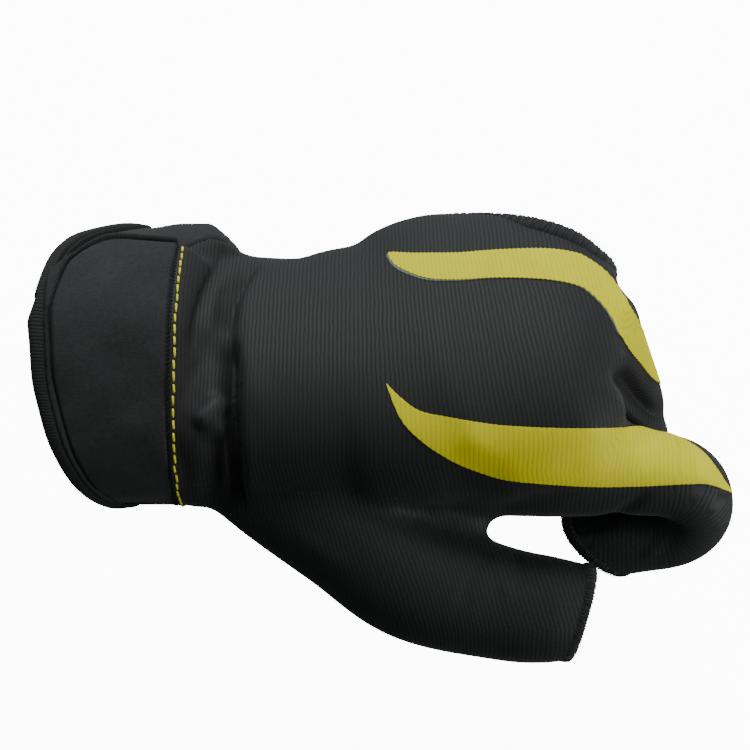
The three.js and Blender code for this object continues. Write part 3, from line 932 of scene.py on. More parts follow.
@dataclass(frozen=True)
class Crease:
    """A crease or ridge of the knit, drawn on the drawing plane.

    Points are along and up the plane in millimetres. Rise is out of the cloth, below zero for a valley, and
    left and right are its widths on either side of the path as it is followed.
    """

    path: tuple[tuple[float, float], ...]
    rise: float
    left: float
    right: float
    low: float = -60.0
    facing: float = 0.1
    ends: float = 0.3

    def rise_at(self, drawn: Array, normals_out: Array) -> Array:
        """Gives the cloth's rise at its vertices.

        Args:
            drawn: the vertices on the drawing plane, with their heights.
            normals_out: how far each vertex faces out of the plane.

        Returns:
            The rise of each vertex in millimetres.
        """
        table = np.array(self.path)
        fine = np.array([row_at(table, share) for share in np.linspace(0, 1, 5 * len(table))])
        distance, share = to_path(drawn[:, :2], fine)
        at = np.clip(share, 0, 1) * (len(fine) - 1)
        first = np.clip(at.astype(int), 0, len(fine) - 2)
        ahead = fine[first + 1] - fine[first]
        aside = drawn[:, :2] - fine[first]
        side = ahead[:, 0] * aside[:, 1] - ahead[:, 1] * aside[:, 0]
        width = np.where(side > 0, self.left, self.right)
        fading = smoothstep(np.minimum(share, 1 - share) / self.ends, 0, 1)
        seen = smoothstep(normals_out, self.facing - 0.12, self.facing + 0.15)
        seen = seen * smoothstep(drawn[:, 2], self.low - 2, self.low + 2)
        return self.rise * np.exp(-((distance / width) ** 2)) * fading * seen


CREASES: tuple[Crease, ...] = (
    # two arcs that run up from the wrist
    Crease(((-36.5, 31.5), (-40.2, 26.7), (-42.7, 21.2), (-44.5, 15.5), (-45.6, 9.5), (-46.0, 2.5)), -2.0, 1.9, 0.9),
    Crease(((-27.5, 29.5), (-32.0, 24.5), (-34.7, 19.2), (-36.0, 13.5), (-36.2, 7.0)), -2.4, 0.9, 2.6),
    Crease(((-38.5, 26.0), (-40.3, 18.5), (-40.8, 10.5), (-40.0, 3.0)), 0.55, 1.6, 1.6),
    # the edge where the knit's body stands proud of the wrist, and the hollow beside it
    Crease(((-36.0, 12.0), (-34.9, 2.5), (-34.6, -6.5), (-34.1, -16.0), (-33.5, -26.0), (-33.0, -38.0)),
           -4.2, 0.8, 4.2, ends=0.16),
    Crease(((-39.5, -12.0), (-40.6, -24.0), (-39.5, -36.0)), -2.8, 2.6, 3.2),
    Crease(((-45.0, -13.5), (-40.5, -9.0), (-36.8, -4.5)), 3.0, 2.4, 1.7),
    Crease(((-47.6, 12.0), (-48.0, 2.0), (-47.6, -8.0)), -0.25, 0.7, 0.7),
    Crease(((-31.0, 24.0), (-31.2, 10.0), (-30.6, -2.0), (-29.5, -14.0)), 0.55, 2.4, 2.4),
    # the far corner of the side opening, where the cloth is pushed out
    Crease(((56.0, 33.0), (61.0, 27.5), (65.0, 19.5), (66.5, 10.0)), 1.9, 6.0, 6.0, low=-70, facing=-1.2, ends=0.35),
    # the hollow between the roots of the index and middle sleeves
    Crease(((59.0, 4.0), (63.0, -1.5), (67.0, -7.0), (74.5, -13.5)), -3.0, 2.4, 2.0, facing=-0.3),
    Crease(((53.0, 0.5), (58.0, -5.0), (64.0, -10.5), (70.0, -13.5)), 0.5, 2.0, 2.0, facing=-0.2),
    # the index sleeve's end, folded back under it
    Crease(((70.0, -28.0), (63.5, -33.0), (57.0, -36.8), (51.0, -39.0)), -0.8, 1.6, 1.3, facing=-0.5),
    Crease(((73.5, -39.0), (70.5, -43.0), (66.5, -46.5)), 0.3, 1.2, 1.2, facing=-0.5),
    # pulls from the thumb's crotch
    Crease(((29.0, -43.5), (31.5, -50.0), (34.5, -58.0)), 0.35, 1.2, 1.2, facing=-0.4),
    Crease(((27.5, -44.0), (24.5, -51.0), (20.0, -58.5)), -0.4, 1.4, 1.6, facing=-0.4),
    Crease(((33.0, -43.0), (37.5, -49.0), (42.0, -56.0)), -0.35, 1.4, 1.2, facing=-0.4),
    Crease(((-22.0, -38.0), (-14.0, -44.0), (-5.0, -49.0)), 0.35, 2.4, 2.4, facing=-0.4),
    Crease(((4.0, -30.0), (14.0, -36.0), (22.0, -41.0)), -0.35, 3.0, 3.0, facing=-0.2),
)


# ---------------------------------------------------------------- the knit


@dataclass
class Mouth:
    """Where a sleeve ends: a ring of a limb."""

    limb: Limb
    share: float
    inner: float = 2.5
    behind: float = 2.0
    past: float = 8.5
    beside: float = 1.0

    def plane(self) -> tuple[Array, Array]:
        """Gives the middle of the ring and the direction out of the sleeve."""
        ring = self.limb.ring(self.share, 0.0, 0.0, 48)
        middle = ring.mean(0)
        normal = np.linalg.svd(ring - middle)[2][2]
        _, ahead, _, _ = self.limb.frame_at(self.share)
        return middle, normal * math.copysign(1.0, float(normal @ ahead))

    def cut(self, bm: Mesh, others: Sequence[Array]) -> None:
        """Opens the sleeve at the ring's plane, leaving the rest of the glove whole.

        Args:
            bm: the skin.
            others: middles of the other mouths, whose sleeves may touch this one.
        """
        middle, normal = self.plane()
        reach = float(np.linalg.norm(self.limb.ring(self.share) - middle, axis=1).max())
        tip = middle + normal * self.inner
        bm.faces.ensure_lookup_table()
        start = min(bm.faces, key=lambda f: (f.calc_center_median() - Vector(tip)).length_squared)
        found, edge = {start: None}, [start]
        while edge:
            face = edge.pop()
            for e in face.edges:
                for other in e.link_faces:
                    if other in found:
                        continue
                    d = np.array(other.calc_center_median()) - middle
                    away = float(np.linalg.norm(d))
                    aside = float(np.linalg.norm(d - normal * (d @ normal)))
                    alone = all(away < np.linalg.norm(d + middle - o) for o in others)
                    near = away < reach + self.past and aside < reach + self.beside
                    if d @ normal > -self.behind and near and alone:
                        found[other] = None
                        edge.append(other)
        edges, verts = in_order(e for f in found for e in f.edges), in_order(v for f in found for v in f.verts)
        cut_off(bm, middle, normal, [*found, *edges, *verts])


@dataclass
class KnitBody:
    """The knit of hand and sleeves as one cloth, open at the wrist, the side and the three mouths."""

    form: HandForm
    voxel: float = 0.98
    thickness: float = 1.2
    side_gap: float = 3.0
    least_edges: int = 20
    mouth_reach: float = 8.0
    mouths: dict[Rim, Mouth] = field(default_factory=dict)
    loops: dict[Rim, Array] = field(default_factory=dict)
    surface: Optional[BVHTree] = None
    cloth: Optional[Mesh] = None

    def __post_init__(self) -> None:
        """Places the mouths."""
        limbs = self.form.limbs
        self.mouths = {
            Rim.INDEX: Mouth(limbs["index"], 0.992),
            Rim.MIDDLE: Mouth(limbs["middle"], 0.99),
            Rim.THUMB: Mouth(limbs["thumb"], 0.992),
        }

    def crease(self, bm: Mesh) -> None:
        """Moves the skin by its creases."""
        bm.normal_update()
        points = coordinates(bm)
        normals = normals_of(bm)
        drawn = on_drawing(points)
        facing = normals @ OUTWARD
        rise = np.zeros(len(points))
        for crease in CREASES:
            rise += crease.rise_at(drawn, facing)
        move_to(bm, points + normals * rise[:, None])
        # keeps each vertex's crease depth as "fold" for the knit's painted shade in valleys and painted highlight on
        # ridges; ridges past 55-62 mm along the hand get no painted highlight
        kept = bm.verts.layers.float.new("fold")
        shown = np.where(rise < 0, rise, rise * (1 - smoothstep(points[:, 0], 55, 62)))
        for v, fold in zip(bm.verts, shown):
            v[kept] = fold

    def meet_cuff(self, bm: Mesh, cuff: "Cuff") -> None:
        """Lifts the knit's first millimetres to the face of the cuff that it is sewn to."""
        points = coordinates(bm)
        x, y, z = points.T
        turn = cuff.turn_at(points)
        level = np.where(turn > 0, cuff.flap_out(turn), 0.0)
        goal = cuff.on_cuff(np.full_like(x, SEAM_X), turn, level - 0.3)
        radius = np.hypot(y, z)
        wide = 4.5 + 1.7 * level
        share = 1 - smoothstep((x - SEAM_X) / wide, 0.0, 1.0)
        share *= np.maximum(smoothstep(turn, 61, 71), smoothstep(-turn, 35, 55))
        lifted = 1 + share * (np.hypot(goal[:, 1], goal[:, 2]) / np.maximum(radius, 1.0) - 1)
        under = cuff.on_cuff(np.maximum(x, SEAM_X), turn, cuff.band_out(turn, x) - 1.1)
        covered = 1 - smoothstep((x - cuff.band_reach(turn)) / 3.0, 0.0, 1.0)
        covered *= smoothstep(turn, -50, -36) * (1 - smoothstep(turn, 66, 84))
        rest = 1 + covered * np.maximum(np.hypot(under[:, 1], under[:, 2]) / np.maximum(radius, 1.0) - 1, 0)
        grown = np.where(turn > -20, np.where(turn < 90, np.maximum(lifted, rest), lifted), lifted + rest - 1)
        move_to(bm, np.stack([x, y * grown, z * grown], 1))
        corner = (np.abs(turn - 69) < 15) & (x > SEAM_X - 3) & (x < SEAM_X + 18)
        soften(bm, 8, [v for v, chosen in zip(bm.verts, corner) if chosen])

    def build(self, cuff: "Cuff") -> None:
        """Makes the cloth's outer face and cuts its openings.

        Args:
            cuff: the cuff that it is sewn to.
        """
        bm = self.form.skin(self.voxel)
        self.meet_cuff(bm, cuff)
        self.crease(bm)
        self.surface = BVHTree.FromBMesh(bm)
        cut_off(bm, (SEAM_X - 0.05, 0, 0), (-1, 0, 0))
        normal = self.form.side_normal
        cut_off(bm, normal * (self.form.side_reach - self.side_gap), normal)
        for mouth in self.mouths.values():
            mouth.cut(bm, [m.plane()[0] for m in self.mouths.values() if m is not mouth])
        self.keep_largest(bm)
        for loop in boundary_loops(bm):
            self.name_loop(np.array([v.co[:] for v in loop]))
        self.cloth = bm

    def keep_largest(self, bm: Mesh) -> None:
        """Removes scraps that a cut left behind, of the knit or of a film."""
        placed, islands = set(), []
        for seed in bm.verts:
            if seed in placed:
                continue
            island, edge = {seed: None}, [seed]
            while edge:
                for e in edge.pop().link_edges:
                    for v in e.verts:
                        if v not in island:
                            island[v] = None
                            edge.append(v)
            placed.update(island)
            islands.append(island)
        islands.sort(key=len)
        for island in islands[:-1]:
            bmesh.ops.delete(bm, geom=list(island), context="VERTS")
        log.info("knit: %d scraps removed", len(islands) - 1)

    def name_loop(self, loop: Array) -> None:
        """Keeps an open edge of the cloth under the name of its hem."""
        middle = loop.mean(0)
        if len(loop) < self.least_edges:
            log.warning("a small hole of %d edges at %s", len(loop), middle.round(1))
            return
        if abs(middle[0] - SEAM_X) < 0.5:
            log.info("wrist: %d edges, %.0f mm", len(loop), path_length(loop, True))
            return
        name = Rim.SIDE
        for rim, mouth in self.mouths.items():
            if np.linalg.norm(mouth.plane()[0] - middle) < self.mouth_reach:
                name = rim
        log.info("%s: %d edges, %.0f mm", name.value, len(loop), path_length(loop, True))
        self.loops[name] = loop

    def rib_at(self, points: Array) -> Array:
        """Gives how far along the ribs' pattern each point is, in millimetres."""
        x, y, z = points.T
        up = on_drawing(points)[:, 1]
        lean = 0.14 * smoothstep(x, 60, 110) * np.clip(up + 12, 0, 42)
        side = -0.24 * smoothstep(x, 84, 104) * np.clip(-up - 24, 0, 40)
        thumb = 0.3 * (1 - smoothstep(x, 84, 104)) * smoothstep(x, 30, 55) * np.clip(-up - 22, 0, 60)
        near = np.clip(x - 28, 0, 54)
        gathered = 0.3 * (near - near ** 2 / 108)
        rib = x + lean + side - thumb + gathered
        for name, first, last, reach in (("index", 24.0, 36.0, 14.5), ("middle", 0.0, 8.0, 13.0)):
            line = self.form.limbs[name].rows[:, :3]
            distance, share = to_path(points, line)
            run = share * path_length(line)
            weight = smoothstep(run, first, last) * (1 - smoothstep(distance, reach, reach + 3))
            rib += weight * (line[0, 0] + run - x)
        return rib

    def round_at(self, points: Array) -> Array:
        """Gives how far round the hand each point is, in millimetres."""
        x, y, z = points.T
        return np.arctan2(z * 1.5, y + 4) * 34 + 0.1 * x

    def dress(self, finish: KnitFinish) -> Piece:
        """Makes the knit's piece of its outer face.

        Args:
            finish: the knit's finish.

        Returns:
            The finished piece.
        """
        bm = self.cloth.copy()
        bmesh.ops.triangulate(bm, faces=[f for f in bm.faces if len(f.verts) > 4])
        points = coordinates(bm)
        made = as_object(bm, "knit_body")
        put_values(made, "rib", self.rib_at(points))
        put_values(made, "round", self.round_at(points))
        wall = made.modifiers.new("wall", "SOLIDIFY")
        wall.thickness = self.thickness * METRES
        wall.offset = -1.0
        wall.use_rim = True
        return finish_piece(
            made, finish.material(),
            ("back_panel", "palm_panel", "index_sleeve", "middle_sleeve", "thumb_sleeve"),
        )


# ---------------------------------------------------------------- accents


@dataclass
class Accent:
    """A printed accent: a thin film on the knit inside an outline of the drawing plane."""

    name: str
    rows: tuple[tuple[float, float, float], ...]
    behind: float
    nodes: tuple[str, ...] = ()
    lift: float = 0.12
    thickness: float = 0.16
    frayed: float = 0.035
    least_facing: float = -0.05
    evened: int = 40

    def keep_facing(self, bm: Mesh) -> bmesh.types.BMLayerItem:
        """Writes how far the cloth faces out of the drawing plane, evened over small lumps.

        Args:
            bm: the cloth.

        Returns:
            The layer that holds it.
        """
        front = bm.verts.layers.float.new("front")
        bm.normal_update()
        bm.verts.index_update()
        facing = normals_of(bm) @ OUTWARD
        pairs = np.array([[e.verts[0].index, e.verts[1].index] for e in bm.edges])
        around = np.maximum(np.bincount(pairs.ravel(), minlength=len(facing)), 1)
        for _ in range(self.evened):
            total = np.bincount(pairs[:, 0], facing[pairs[:, 1]], len(facing))
            total += np.bincount(pairs[:, 1], facing[pairs[:, 0]], len(facing))
            facing = 0.5 * facing + 0.5 * total / around
        for v, value in zip(bm.verts, facing):
            v[front] = value
        return front

    def build(self, knit: KnitBody, finish: FilmFinish) -> Piece:
        """Cuts the film out of the knit's face.

        Args:
            knit: the knit that carries it.
            finish: the film's finish.

        Returns:
            The finished piece.
        """
        outline = fine_outline(self.rows)
        bm = knit.cloth.copy()
        low, high = outline.min(0) - 3, outline.max(0) + 3
        front = self.keep_facing(bm)

        def level() -> Array:
            """Gives each vertex's distance outside the outline, below zero inside it."""
            points = coordinates(bm)
            facing = np.array([v[front] for v in bm.verts])
            drawn = on_drawing(points)
            distance, _ = to_path(drawn[:, :2], np.vstack([outline, outline[:1]]))
            distance = np.where(inside(drawn[:, :2], outline), -distance, distance)
            distance += self.frayed * np.cos(2 * math.pi * knit.rib_at(points) / 1.1)
            turned_away = (self.least_facing - facing) * 8
            return np.maximum(np.maximum(distance, self.behind * HAND_LENGTH - drawn[:, 2]), turned_away)

        drawn = on_drawing(coordinates(bm))
        far = (drawn[:, 0] < low[0]) | (drawn[:, 0] > high[0]) | (drawn[:, 1] < low[1]) | (drawn[:, 1] > high[1])
        far |= drawn[:, 2] < self.behind * HAND_LENGTH - 3
        bmesh.ops.delete(bm, geom=[v for v, gone in zip(list(bm.verts), far) if gone], context="VERTS")
        for reach in (1.3, 0.7):
            near = {v for v, d in zip(bm.verts, level()) if abs(d) < reach}
            edges = [e for e in bm.edges if e.verts[0] in near or e.verts[1] in near]
            bmesh.ops.subdivide_edges(bm, edges=edges, cuts=1, use_grid_fill=True)
            bmesh.ops.triangulate(bm, faces=bm.faces)
        bm.verts.ensure_lookup_table()
        values = level()
        value_of = {v: d for v, d in zip(bm.verts, values)}
        crossing = [e for e in bm.edges if value_of[e.verts[0]] * value_of[e.verts[1]] < 0]
        cut = []
        for e in crossing:
            a, b = e.verts
            share = value_of[a] / (value_of[a] - value_of[b])
            _, v = bmesh.utils.edge_split(e, a, share)
            value_of[v] = 0.0
            cut.append(v)
        bmesh.ops.connect_verts(bm, verts=cut)
        gone = [f for f in bm.faces if sum(value_of.get(v, 0.0) for v in f.verts) > 0]
        bmesh.ops.delete(bm, geom=gone, context="FACES")
        bm.normal_update()
        for v in list(bm.verts):
            if not v.link_faces:
                bm.verts.remove(v)
        knit.keep_largest(bm)
        bm.verts.layers.float.remove(front)
        points = coordinates(bm)
        move_to(bm, points + normals_of(bm) * (self.lift + self.thickness))
        made = as_object(bm, self.name)
        put_values(made, "rib", knit.rib_at(points))
        wall = made.modifiers.new("film", "SOLIDIFY")
        wall.thickness = self.thickness * METRES
        wall.offset = -1.0
        return finish_piece(made, finish.material(self.name + "_film"), self.nodes)


# ---------------------------------------------------------------- hems


@dataclass
class Hem:
    """A turned and overlocked hem along an open edge of the knit."""

    rim: Rim
    width: float = 3.4
    swell: float = 0.55
    thickness: float = 1.2
    section: int = 20
    step: float = 0.75
    overhang: float = 0.9
    pitch: float = 0.9
    strand: float = 0.11
    smooth_from: Optional[float] = None

    def sections(self, knit: KnitBody) -> tuple[Array, Array]:
        """Works out the hem's cross-sections along its edge.

        Args:
            knit: the knit that it finishes.

        Returns:
            The sections, and how full the hem is at each.
        """
        loop = knit.loops[self.rim]
        count = int(path_length(loop, True) / self.step)
        path = even_path(loop, count, True)
        for _ in range(3):
            path = (np.roll(path, 1, 0) + path + np.roll(path, -1, 0)) / 3
        tangents = np.roll(path, -1, 0) - np.roll(path, 1, 0)
        full = np.ones(count)
        if self.smooth_from is not None:
            full = 0.3 + 2.3 * smoothstep(path[:, 0], self.smooth_from, self.smooth_from + 12)
            full = np.where(path[:, 2] < 0, 1.0, full)
        if self.rim is Rim.SIDE:
            out = np.tile(knit.form.side_normal, (count, 1))
        else:
            out = np.tile(knit.mouths[self.rim].plane()[1], (count, 1))
        angles = np.linspace(0, 2 * math.pi, self.section, endpoint=False)
        rings = []
        for p, t, o, f in zip(path, tangents, out, full):
            place, normal, _, _ = knit.surface.find_nearest(Vector(p))
            n = unit(np.array(normal))
            t = unit(t)
            into = -square_to(o, t)
            into = unit(into - n * (into @ n) * 0.5)
            up = square_to(n, into)
            half = self.width * (0.55 + 0.45 * f) / 2
            thick = (self.thickness + 2 * self.swell * f) / 2
            c, s = np.cos(angles), np.sin(angles)
            across = np.sign(c) * np.abs(c) ** 0.75 * half
            high = np.sign(s) * np.abs(s) ** 0.85 * thick
            middle = p + into * (half - self.overhang) - up * (self.thickness / 2)
            ring = middle + across[:, None] * into + high[:, None] * up
            rings.append(ring)
        return np.array(rings), full

    def build(self, knit: KnitBody, cloth: Finish, thread: Finish) -> list[Piece]:
        """Makes the hem and the thread over it.

        Args:
            knit: the knit that it finishes.
            cloth: the hem's material.
            thread: the thread's material.

        Returns:
            The finished pieces.
        """
        rings, full = self.sections(knit)
        closed = np.concatenate([rings, rings[:1]])
        bm = bmesh.new()
        loft(bm, closed, True, False)
        bmesh.ops.remove_doubles(bm, verts=bm.verts, dist=1e-4)
        bmesh.ops.recalc_face_normals(bm, faces=bm.faces)
        made = as_object(bm, self.rim.value + "_roll")
        points = np.array([v.co[:] for v in made.data.vertices]) / METRES
        middles = rings.mean(1)
        nearest = np.array([np.argmin(((middles - p) ** 2).sum(1)) for p in points])
        put_values(made, "rib", nearest * (path_length(middles, True) / len(middles)))
        hem = finish_piece(made, cloth, (self.rim.value,))
        return [hem, self.overlock(rings, thread), self.fuzz(rings, thread)]

    def fuzz(self, rings: Array, thread: Finish) -> Piece:
        """Raises short loose fibres from the worn thread.

        Args:
            rings: the hem's sections.
            thread: the fibres' material.

        Returns:
            The finished piece.
        """
        bm = bmesh.new()
        rng = np.random.default_rng(11)
        middles = rings.mean(1)
        count = int(path_length(middles, True) * 2.6)
        for _ in range(count):
            i = int(rng.integers(len(rings)))
            p = rings[i][int(rng.integers(0, self.section * 6 // 10))]
            out = unit(p - middles[i])
            sway = rng.normal(0, 1, 3)
            sway = unit(sway - out * (sway @ out))
            long = rng.uniform(0.35, 1.1)
            path = [
                p + out * (0.05 + long * t * 0.7) + sway * long * (0.3 * t + 0.5 * t * t) for t in (0, 0.35, 0.7, 1.0)
            ]
            add_thread(bm, np.array(path), 0.032, 3, 0.5)
        made = as_object(bm, self.rim.value + "_fibres")
        return finish_piece(made, thread)

    def overlock(self, rings: Array, thread: Finish) -> Piece:
        """Lays the overlock thread's loops over the hem.

        Args:
            rings: the hem's sections.
            thread: the thread's material.

        Returns:
            The finished piece.
        """
        bm = bmesh.new()
        middles = rings.mean(1)
        step = path_length(middles, True) / len(rings)
        stride = self.pitch / step
        count = int(len(rings) / stride)
        rng = np.random.default_rng(7)
        around = self.section
        for k in range(count):
            at = k * stride
            lean = 0.8 + 0.35 * rng.random()
            path = []
            for j in np.linspace(-0.02, 0.56, 9):
                i = (at + j * lean / step) % len(rings)
                ring = rings[int(i) % len(rings)]
                place = j * around
                a, b = ring[int(math.floor(place)) % around], ring[(int(math.floor(place)) + 1) % around]
                p = a + (b - a) * (place - math.floor(place))
                middle = middles[int(i) % len(rings)]
                path.append(p + unit(p - middle) * (0.1 + 0.05 * rng.random()))
            add_thread(bm, np.array(path), self.strand, 5)
        made = as_object(bm, self.rim.value + "_thread")
        return finish_piece(made, thread)


def add_thread(bm: Mesh, path: Array, radius: float, sides: int = 5, ends: float = 0.35) -> None:
    """Adds a length of thread.

    Args:
        bm: the mesh that it goes in.
        path: its points in millimetres.
        radius: its half thickness.
        sides: how many sides it has.
        ends: how much of the radius is left at its ends.
    """
    tangents = np.gradient(path, axis=0)
    helper = np.array([0.0, 0, 1]) if abs(unit(tangents[0])[2]) < 0.9 else np.array([1.0, 0, 0])
    angles = np.linspace(0, 2 * math.pi, sides, endpoint=False)
    rings = []
    for i, (p, t) in enumerate(zip(path, tangents)):
        t = unit(t)
        u = unit(np.cross(t, helper))
        helper = np.cross(u, t)
        w = np.cross(t, u)
        r = radius * (ends if i in (0, len(path) - 1) else 1.0)
        rings.append(p + r * (np.cos(angles)[:, None] * u + np.sin(angles)[:, None] * w))
    loft(bm, np.array(rings))


# ---------------------------------------------------------------- the cuff


@dataclass
class Cuff:
    """Cuff of two ends: a flap on the back of the wrist, and a band round the palm's side under it."""

    half_width: float = 38.9
    half_depth: float = 28.8
    length: float = 34.0
    taper: float = 2.0
    drop: float = 0.5
    padded: float = 2.3
    swell: float = 0.7
    tape: float = 5.0
    piping: float = 1.7
    groove: float = 0.8
    lift: float = 1.7
    overlap: float = 11.0
    rise: float = 1.6
    closing: float = 4.2
    corner: float = 24.0
    free_turn: float = 68.0
    joined_turn: float = 201.5
    band_end: float = 96.0
    rim_table: tuple[tuple[float, float], ...] = (
        (-90, 0.42), (33, 0.43), (48, 0.58), (63, 0.81), (76, 0.91), (95, 0.96), (115, 0.935), (130, 0.92),
        (155, 0.82), (176, 0.7), (201, 0.52), (216, 0.43), (270, 0.42),
    )

    @property
    def flap_length(self) -> float:
        """How long the flap is round the wrist."""
        return math.radians(self.joined_turn - self.free_turn) * (self.half_width - 4)

    @property
    def piping_share(self) -> float:
        """Share of the flap's length that the binding of its free end takes."""
        return self.piping / self.flap_length

    @property
    def flap_end(self) -> float:
        """Share of the flap's length where the rim's binding ends."""
        return 1 - self.piping / self.flap_length - self.groove / self.flap_length

    def rim_at(self, turn: Array) -> Array:
        """Gives the rim's place along the wrist at turns round it."""
        table = np.array(self.rim_table)
        fine_turns = np.linspace(-90, 270, 361)
        fine = np.interp(fine_turns, table[:, 0], table[:, 1])
        kernel = np.hanning(17)
        fine = np.convolve(np.pad(fine, 8, mode="edge"), kernel / kernel.sum(), "valid")
        place = (np.asarray(turn, float) + 90) % 360 - 90
        return SEAM_X - np.interp(place, fine_turns, fine) * self.length

    def on_cuff(self, x: Array, turn: Array, out: Array) -> Array:
        """Gives points on the cuff: along the wrist, round it and out from the band's face."""
        x, turn, out = np.broadcast_arrays(x, turn, out)
        share = np.clip(x / SEAM_X, 0, 1)
        angle = np.radians(turn)
        deep = self.half_depth - self.taper * share
        across = (self.half_width + out) * np.cos(angle) - self.drop * share
        return np.stack([x, across, (deep + out) * np.sin(angle) - self.drop * share], -1)

    def flap_out(self, turn: Array) -> Array:
        """Gives how far the flap stands off the band."""
        return (self.padded + self.lift) * (1 - smoothstep(turn, self.band_end + 3, self.band_end + 46))

    def flap_place(self, u: Array, v: Array, start: Callable, end: Callable) -> tuple[Array, Array]:
        """Gives where the flap's point u along and v round it is."""
        turn = self.joined_turn + (self.free_turn - self.joined_turn) * v
        x = start(turn) + (end(turn) - start(turn)) * u
        rounding = self.corner * smoothstep((SEAM_X - x) / self.length, 0.36, 0.92) ** 1.5
        return x, turn + rounding * smoothstep(v, 0.55, 1)

    def band_place(self, u: Array, v: Array, start: Callable, end: Callable) -> tuple[Array, Array]:
        """Gives where the band's point u along and v round it is."""
        turn = self.joined_turn - 359.5 + (self.band_end - self.joined_turn + 359.5) * v
        return start(turn) + (end(turn) - start(turn)) * u, turn

    def band_out(self, turn: Array, x: Array) -> Array:
        """Gives how far the band rises over the knit beside the little finger's side."""
        near = 1 - smoothstep((SEAM_X - x) / self.length, 0.01, 0.33)
        beside = smoothstep(turn, -50, -20) * (1 - smoothstep(turn, 40, 68))
        return (self.rise * near - self.closing * smoothstep(x, SEAM_X + 5, SEAM_X + 12)) * beside

    def band_reach(self, turn: Array) -> Array:
        """Gives how far the band runs on over the knit."""
        over = smoothstep(turn, -34, -4) * (1 - smoothstep(turn, 46, 68))
        return SEAM_X + self.overlap * over

    def after_tape(self, turn: Array) -> Array:
        """Gives where the cuff's cloth begins, tucked in under the tape's edge."""
        return self.rim_at(turn) + self.tape - 0.2

    def tape_edge(self, turn: Array) -> Array:
        """Gives where the tape ends."""
        return self.rim_at(turn) + self.tape

    def seam(self, turn: Array) -> Array:
        """Gives where the cuff meets the knit."""
        return np.full_like(np.asarray(turn, float), SEAM_X)

    def turn_at(self, points: Array) -> Array:
        """Gives the turn round the wrist of points, from -180 to 180 degrees."""
        up, across = (points[:, 2] + self.drop) / self.half_depth, (points[:, 1] + self.drop) / self.half_width
        return np.degrees(np.arctan2(up, across))

    def sheet(
        self, bm: Mesh, place: Callable, out: Callable, span_v: tuple[float, float],
        under: float, over: float, columns: int, rows: int, start: Callable, end: Callable,
        span_u: tuple[float, float] = (0.0, 1.0), edge: float = 0.06, relief: Optional[Callable] = None,
        ends: tuple[float, float] = (0.0, 0.0),
    ) -> None:
        """Adds a closed sheet of the cuff with rounded long edges.

        Args:
            bm: the mesh that it goes in.
            place: the flap's or the band's place.
            out: how far it stands off, from turn and x.
            span_v: its start and end round the wrist.
            under: its inner face, out from the band's face.
            over: its outer face.
            columns: how many sections round the wrist.
            rows: how many points across its outer face.
            start: where it begins along the wrist.
            end: where it ends.
            span_u: its start and end along the wrist.
            edge: the share of its width that is rounded.
            relief: a rise of the outer face, from u and v.
            ends: the shares of its length that are rounded at its start and its end.
        """
        t = np.linspace(0, 1, rows + 1)
        u_line = 0.5 - 0.5 * np.cos(math.pi * t) * (0.5 + 0.5 * np.abs(np.cos(math.pi * t)))
        u_line = (u_line - u_line[0]) / (u_line[-1] - u_line[0])
        near = np.clip(np.minimum(u_line, 1 - u_line) / edge, 0, 1)
        fullness = np.sqrt(np.clip(1 - (1 - near) ** 2, 0, 1))
        middle, half = (under + over) / 2, (over - under) / 2
        rings = []
        for v in np.linspace(*span_v, columns + 1):
            u = span_u[0] + (span_u[1] - span_u[0]) * u_line
            x, turn = place(u, np.full_like(u, v), start, end)
            base = out(turn, x)
            rise = relief(u, np.full_like(u, v), x, turn) if relief else 0.0
            full = fullness
            for wide, apart in zip(ends, (v - span_v[0], span_v[1] - v)):
                left = min(apart / wide, 1.0) if wide > 0 else 1.0
                full = full * (0.25 + 0.75 * math.sqrt(max(0.0, 1 - (1 - left) ** 2)))
            top = self.on_cuff(x, turn, base + middle + half * full + rise * full)
            bottom = self.on_cuff(x, turn, base + middle - half * full)
            rings.append(np.vstack([top, bottom[-2:0:-1]]))
        made = loft(bm, np.array(rings))
        bmesh.ops.recalc_face_normals(bm, faces=in_order(f for v in made for f in v.link_faces))

    def flap_relief(self, u: Array, v: Array, x: Array, turn: Array) -> Array:
        """Gives the flap's soft waves."""
        wave = 0.22 * np.sin(turn * 0.075 + x * 0.12) + 0.16 * np.sin(turn * 0.16 - x * 0.19 + 1.3)
        return wave + 0.1 * np.sin(turn * 0.31 + x * 0.33)

    def flap(self, finish: Finish) -> Piece:
        """Makes the flap."""
        bm = bmesh.new()
        self.sheet(
            bm, self.flap_place, lambda turn, x: self.flap_out(turn), (0, 1 - self.piping_share), -self.padded, 0.0,
            260, 60, self.after_tape, self.seam, edge=0.045, relief=self.flap_relief, ends=(0.0, 0.022),
        )
        return self.dressed(bm, "flap_cloth", finish, "cuff_flap")

    def band(self, finish: Finish) -> Piece:
        """Makes the band."""
        bm = bmesh.new()
        self.sheet(
            bm, self.band_place, self.band_out, (0, 1), -self.padded, 0.0, 220, 40, self.after_tape, self.band_reach,
            edge=0.06, relief=lambda u, v, x, turn: 0.3 * self.flap_relief(u, v, x, turn),
        )
        return self.dressed(bm, "band_cloth", finish, "cuff_band")

    def tape_relief(self, u: Array, v: Array, x: Array, turn: Array) -> Array:
        """Gives the tape's crown, its sewn groove and the smooth fold beside it."""
        crown = 0.3 * np.sin(np.clip(u / 0.7, 0, 1) * math.pi) ** 0.7
        sewn = -0.7 * np.exp(-(((u - 0.745) / 0.06) ** 2))
        return crown + sewn + 0.25 * np.exp(-(((u - 0.88) / 0.07) ** 2))

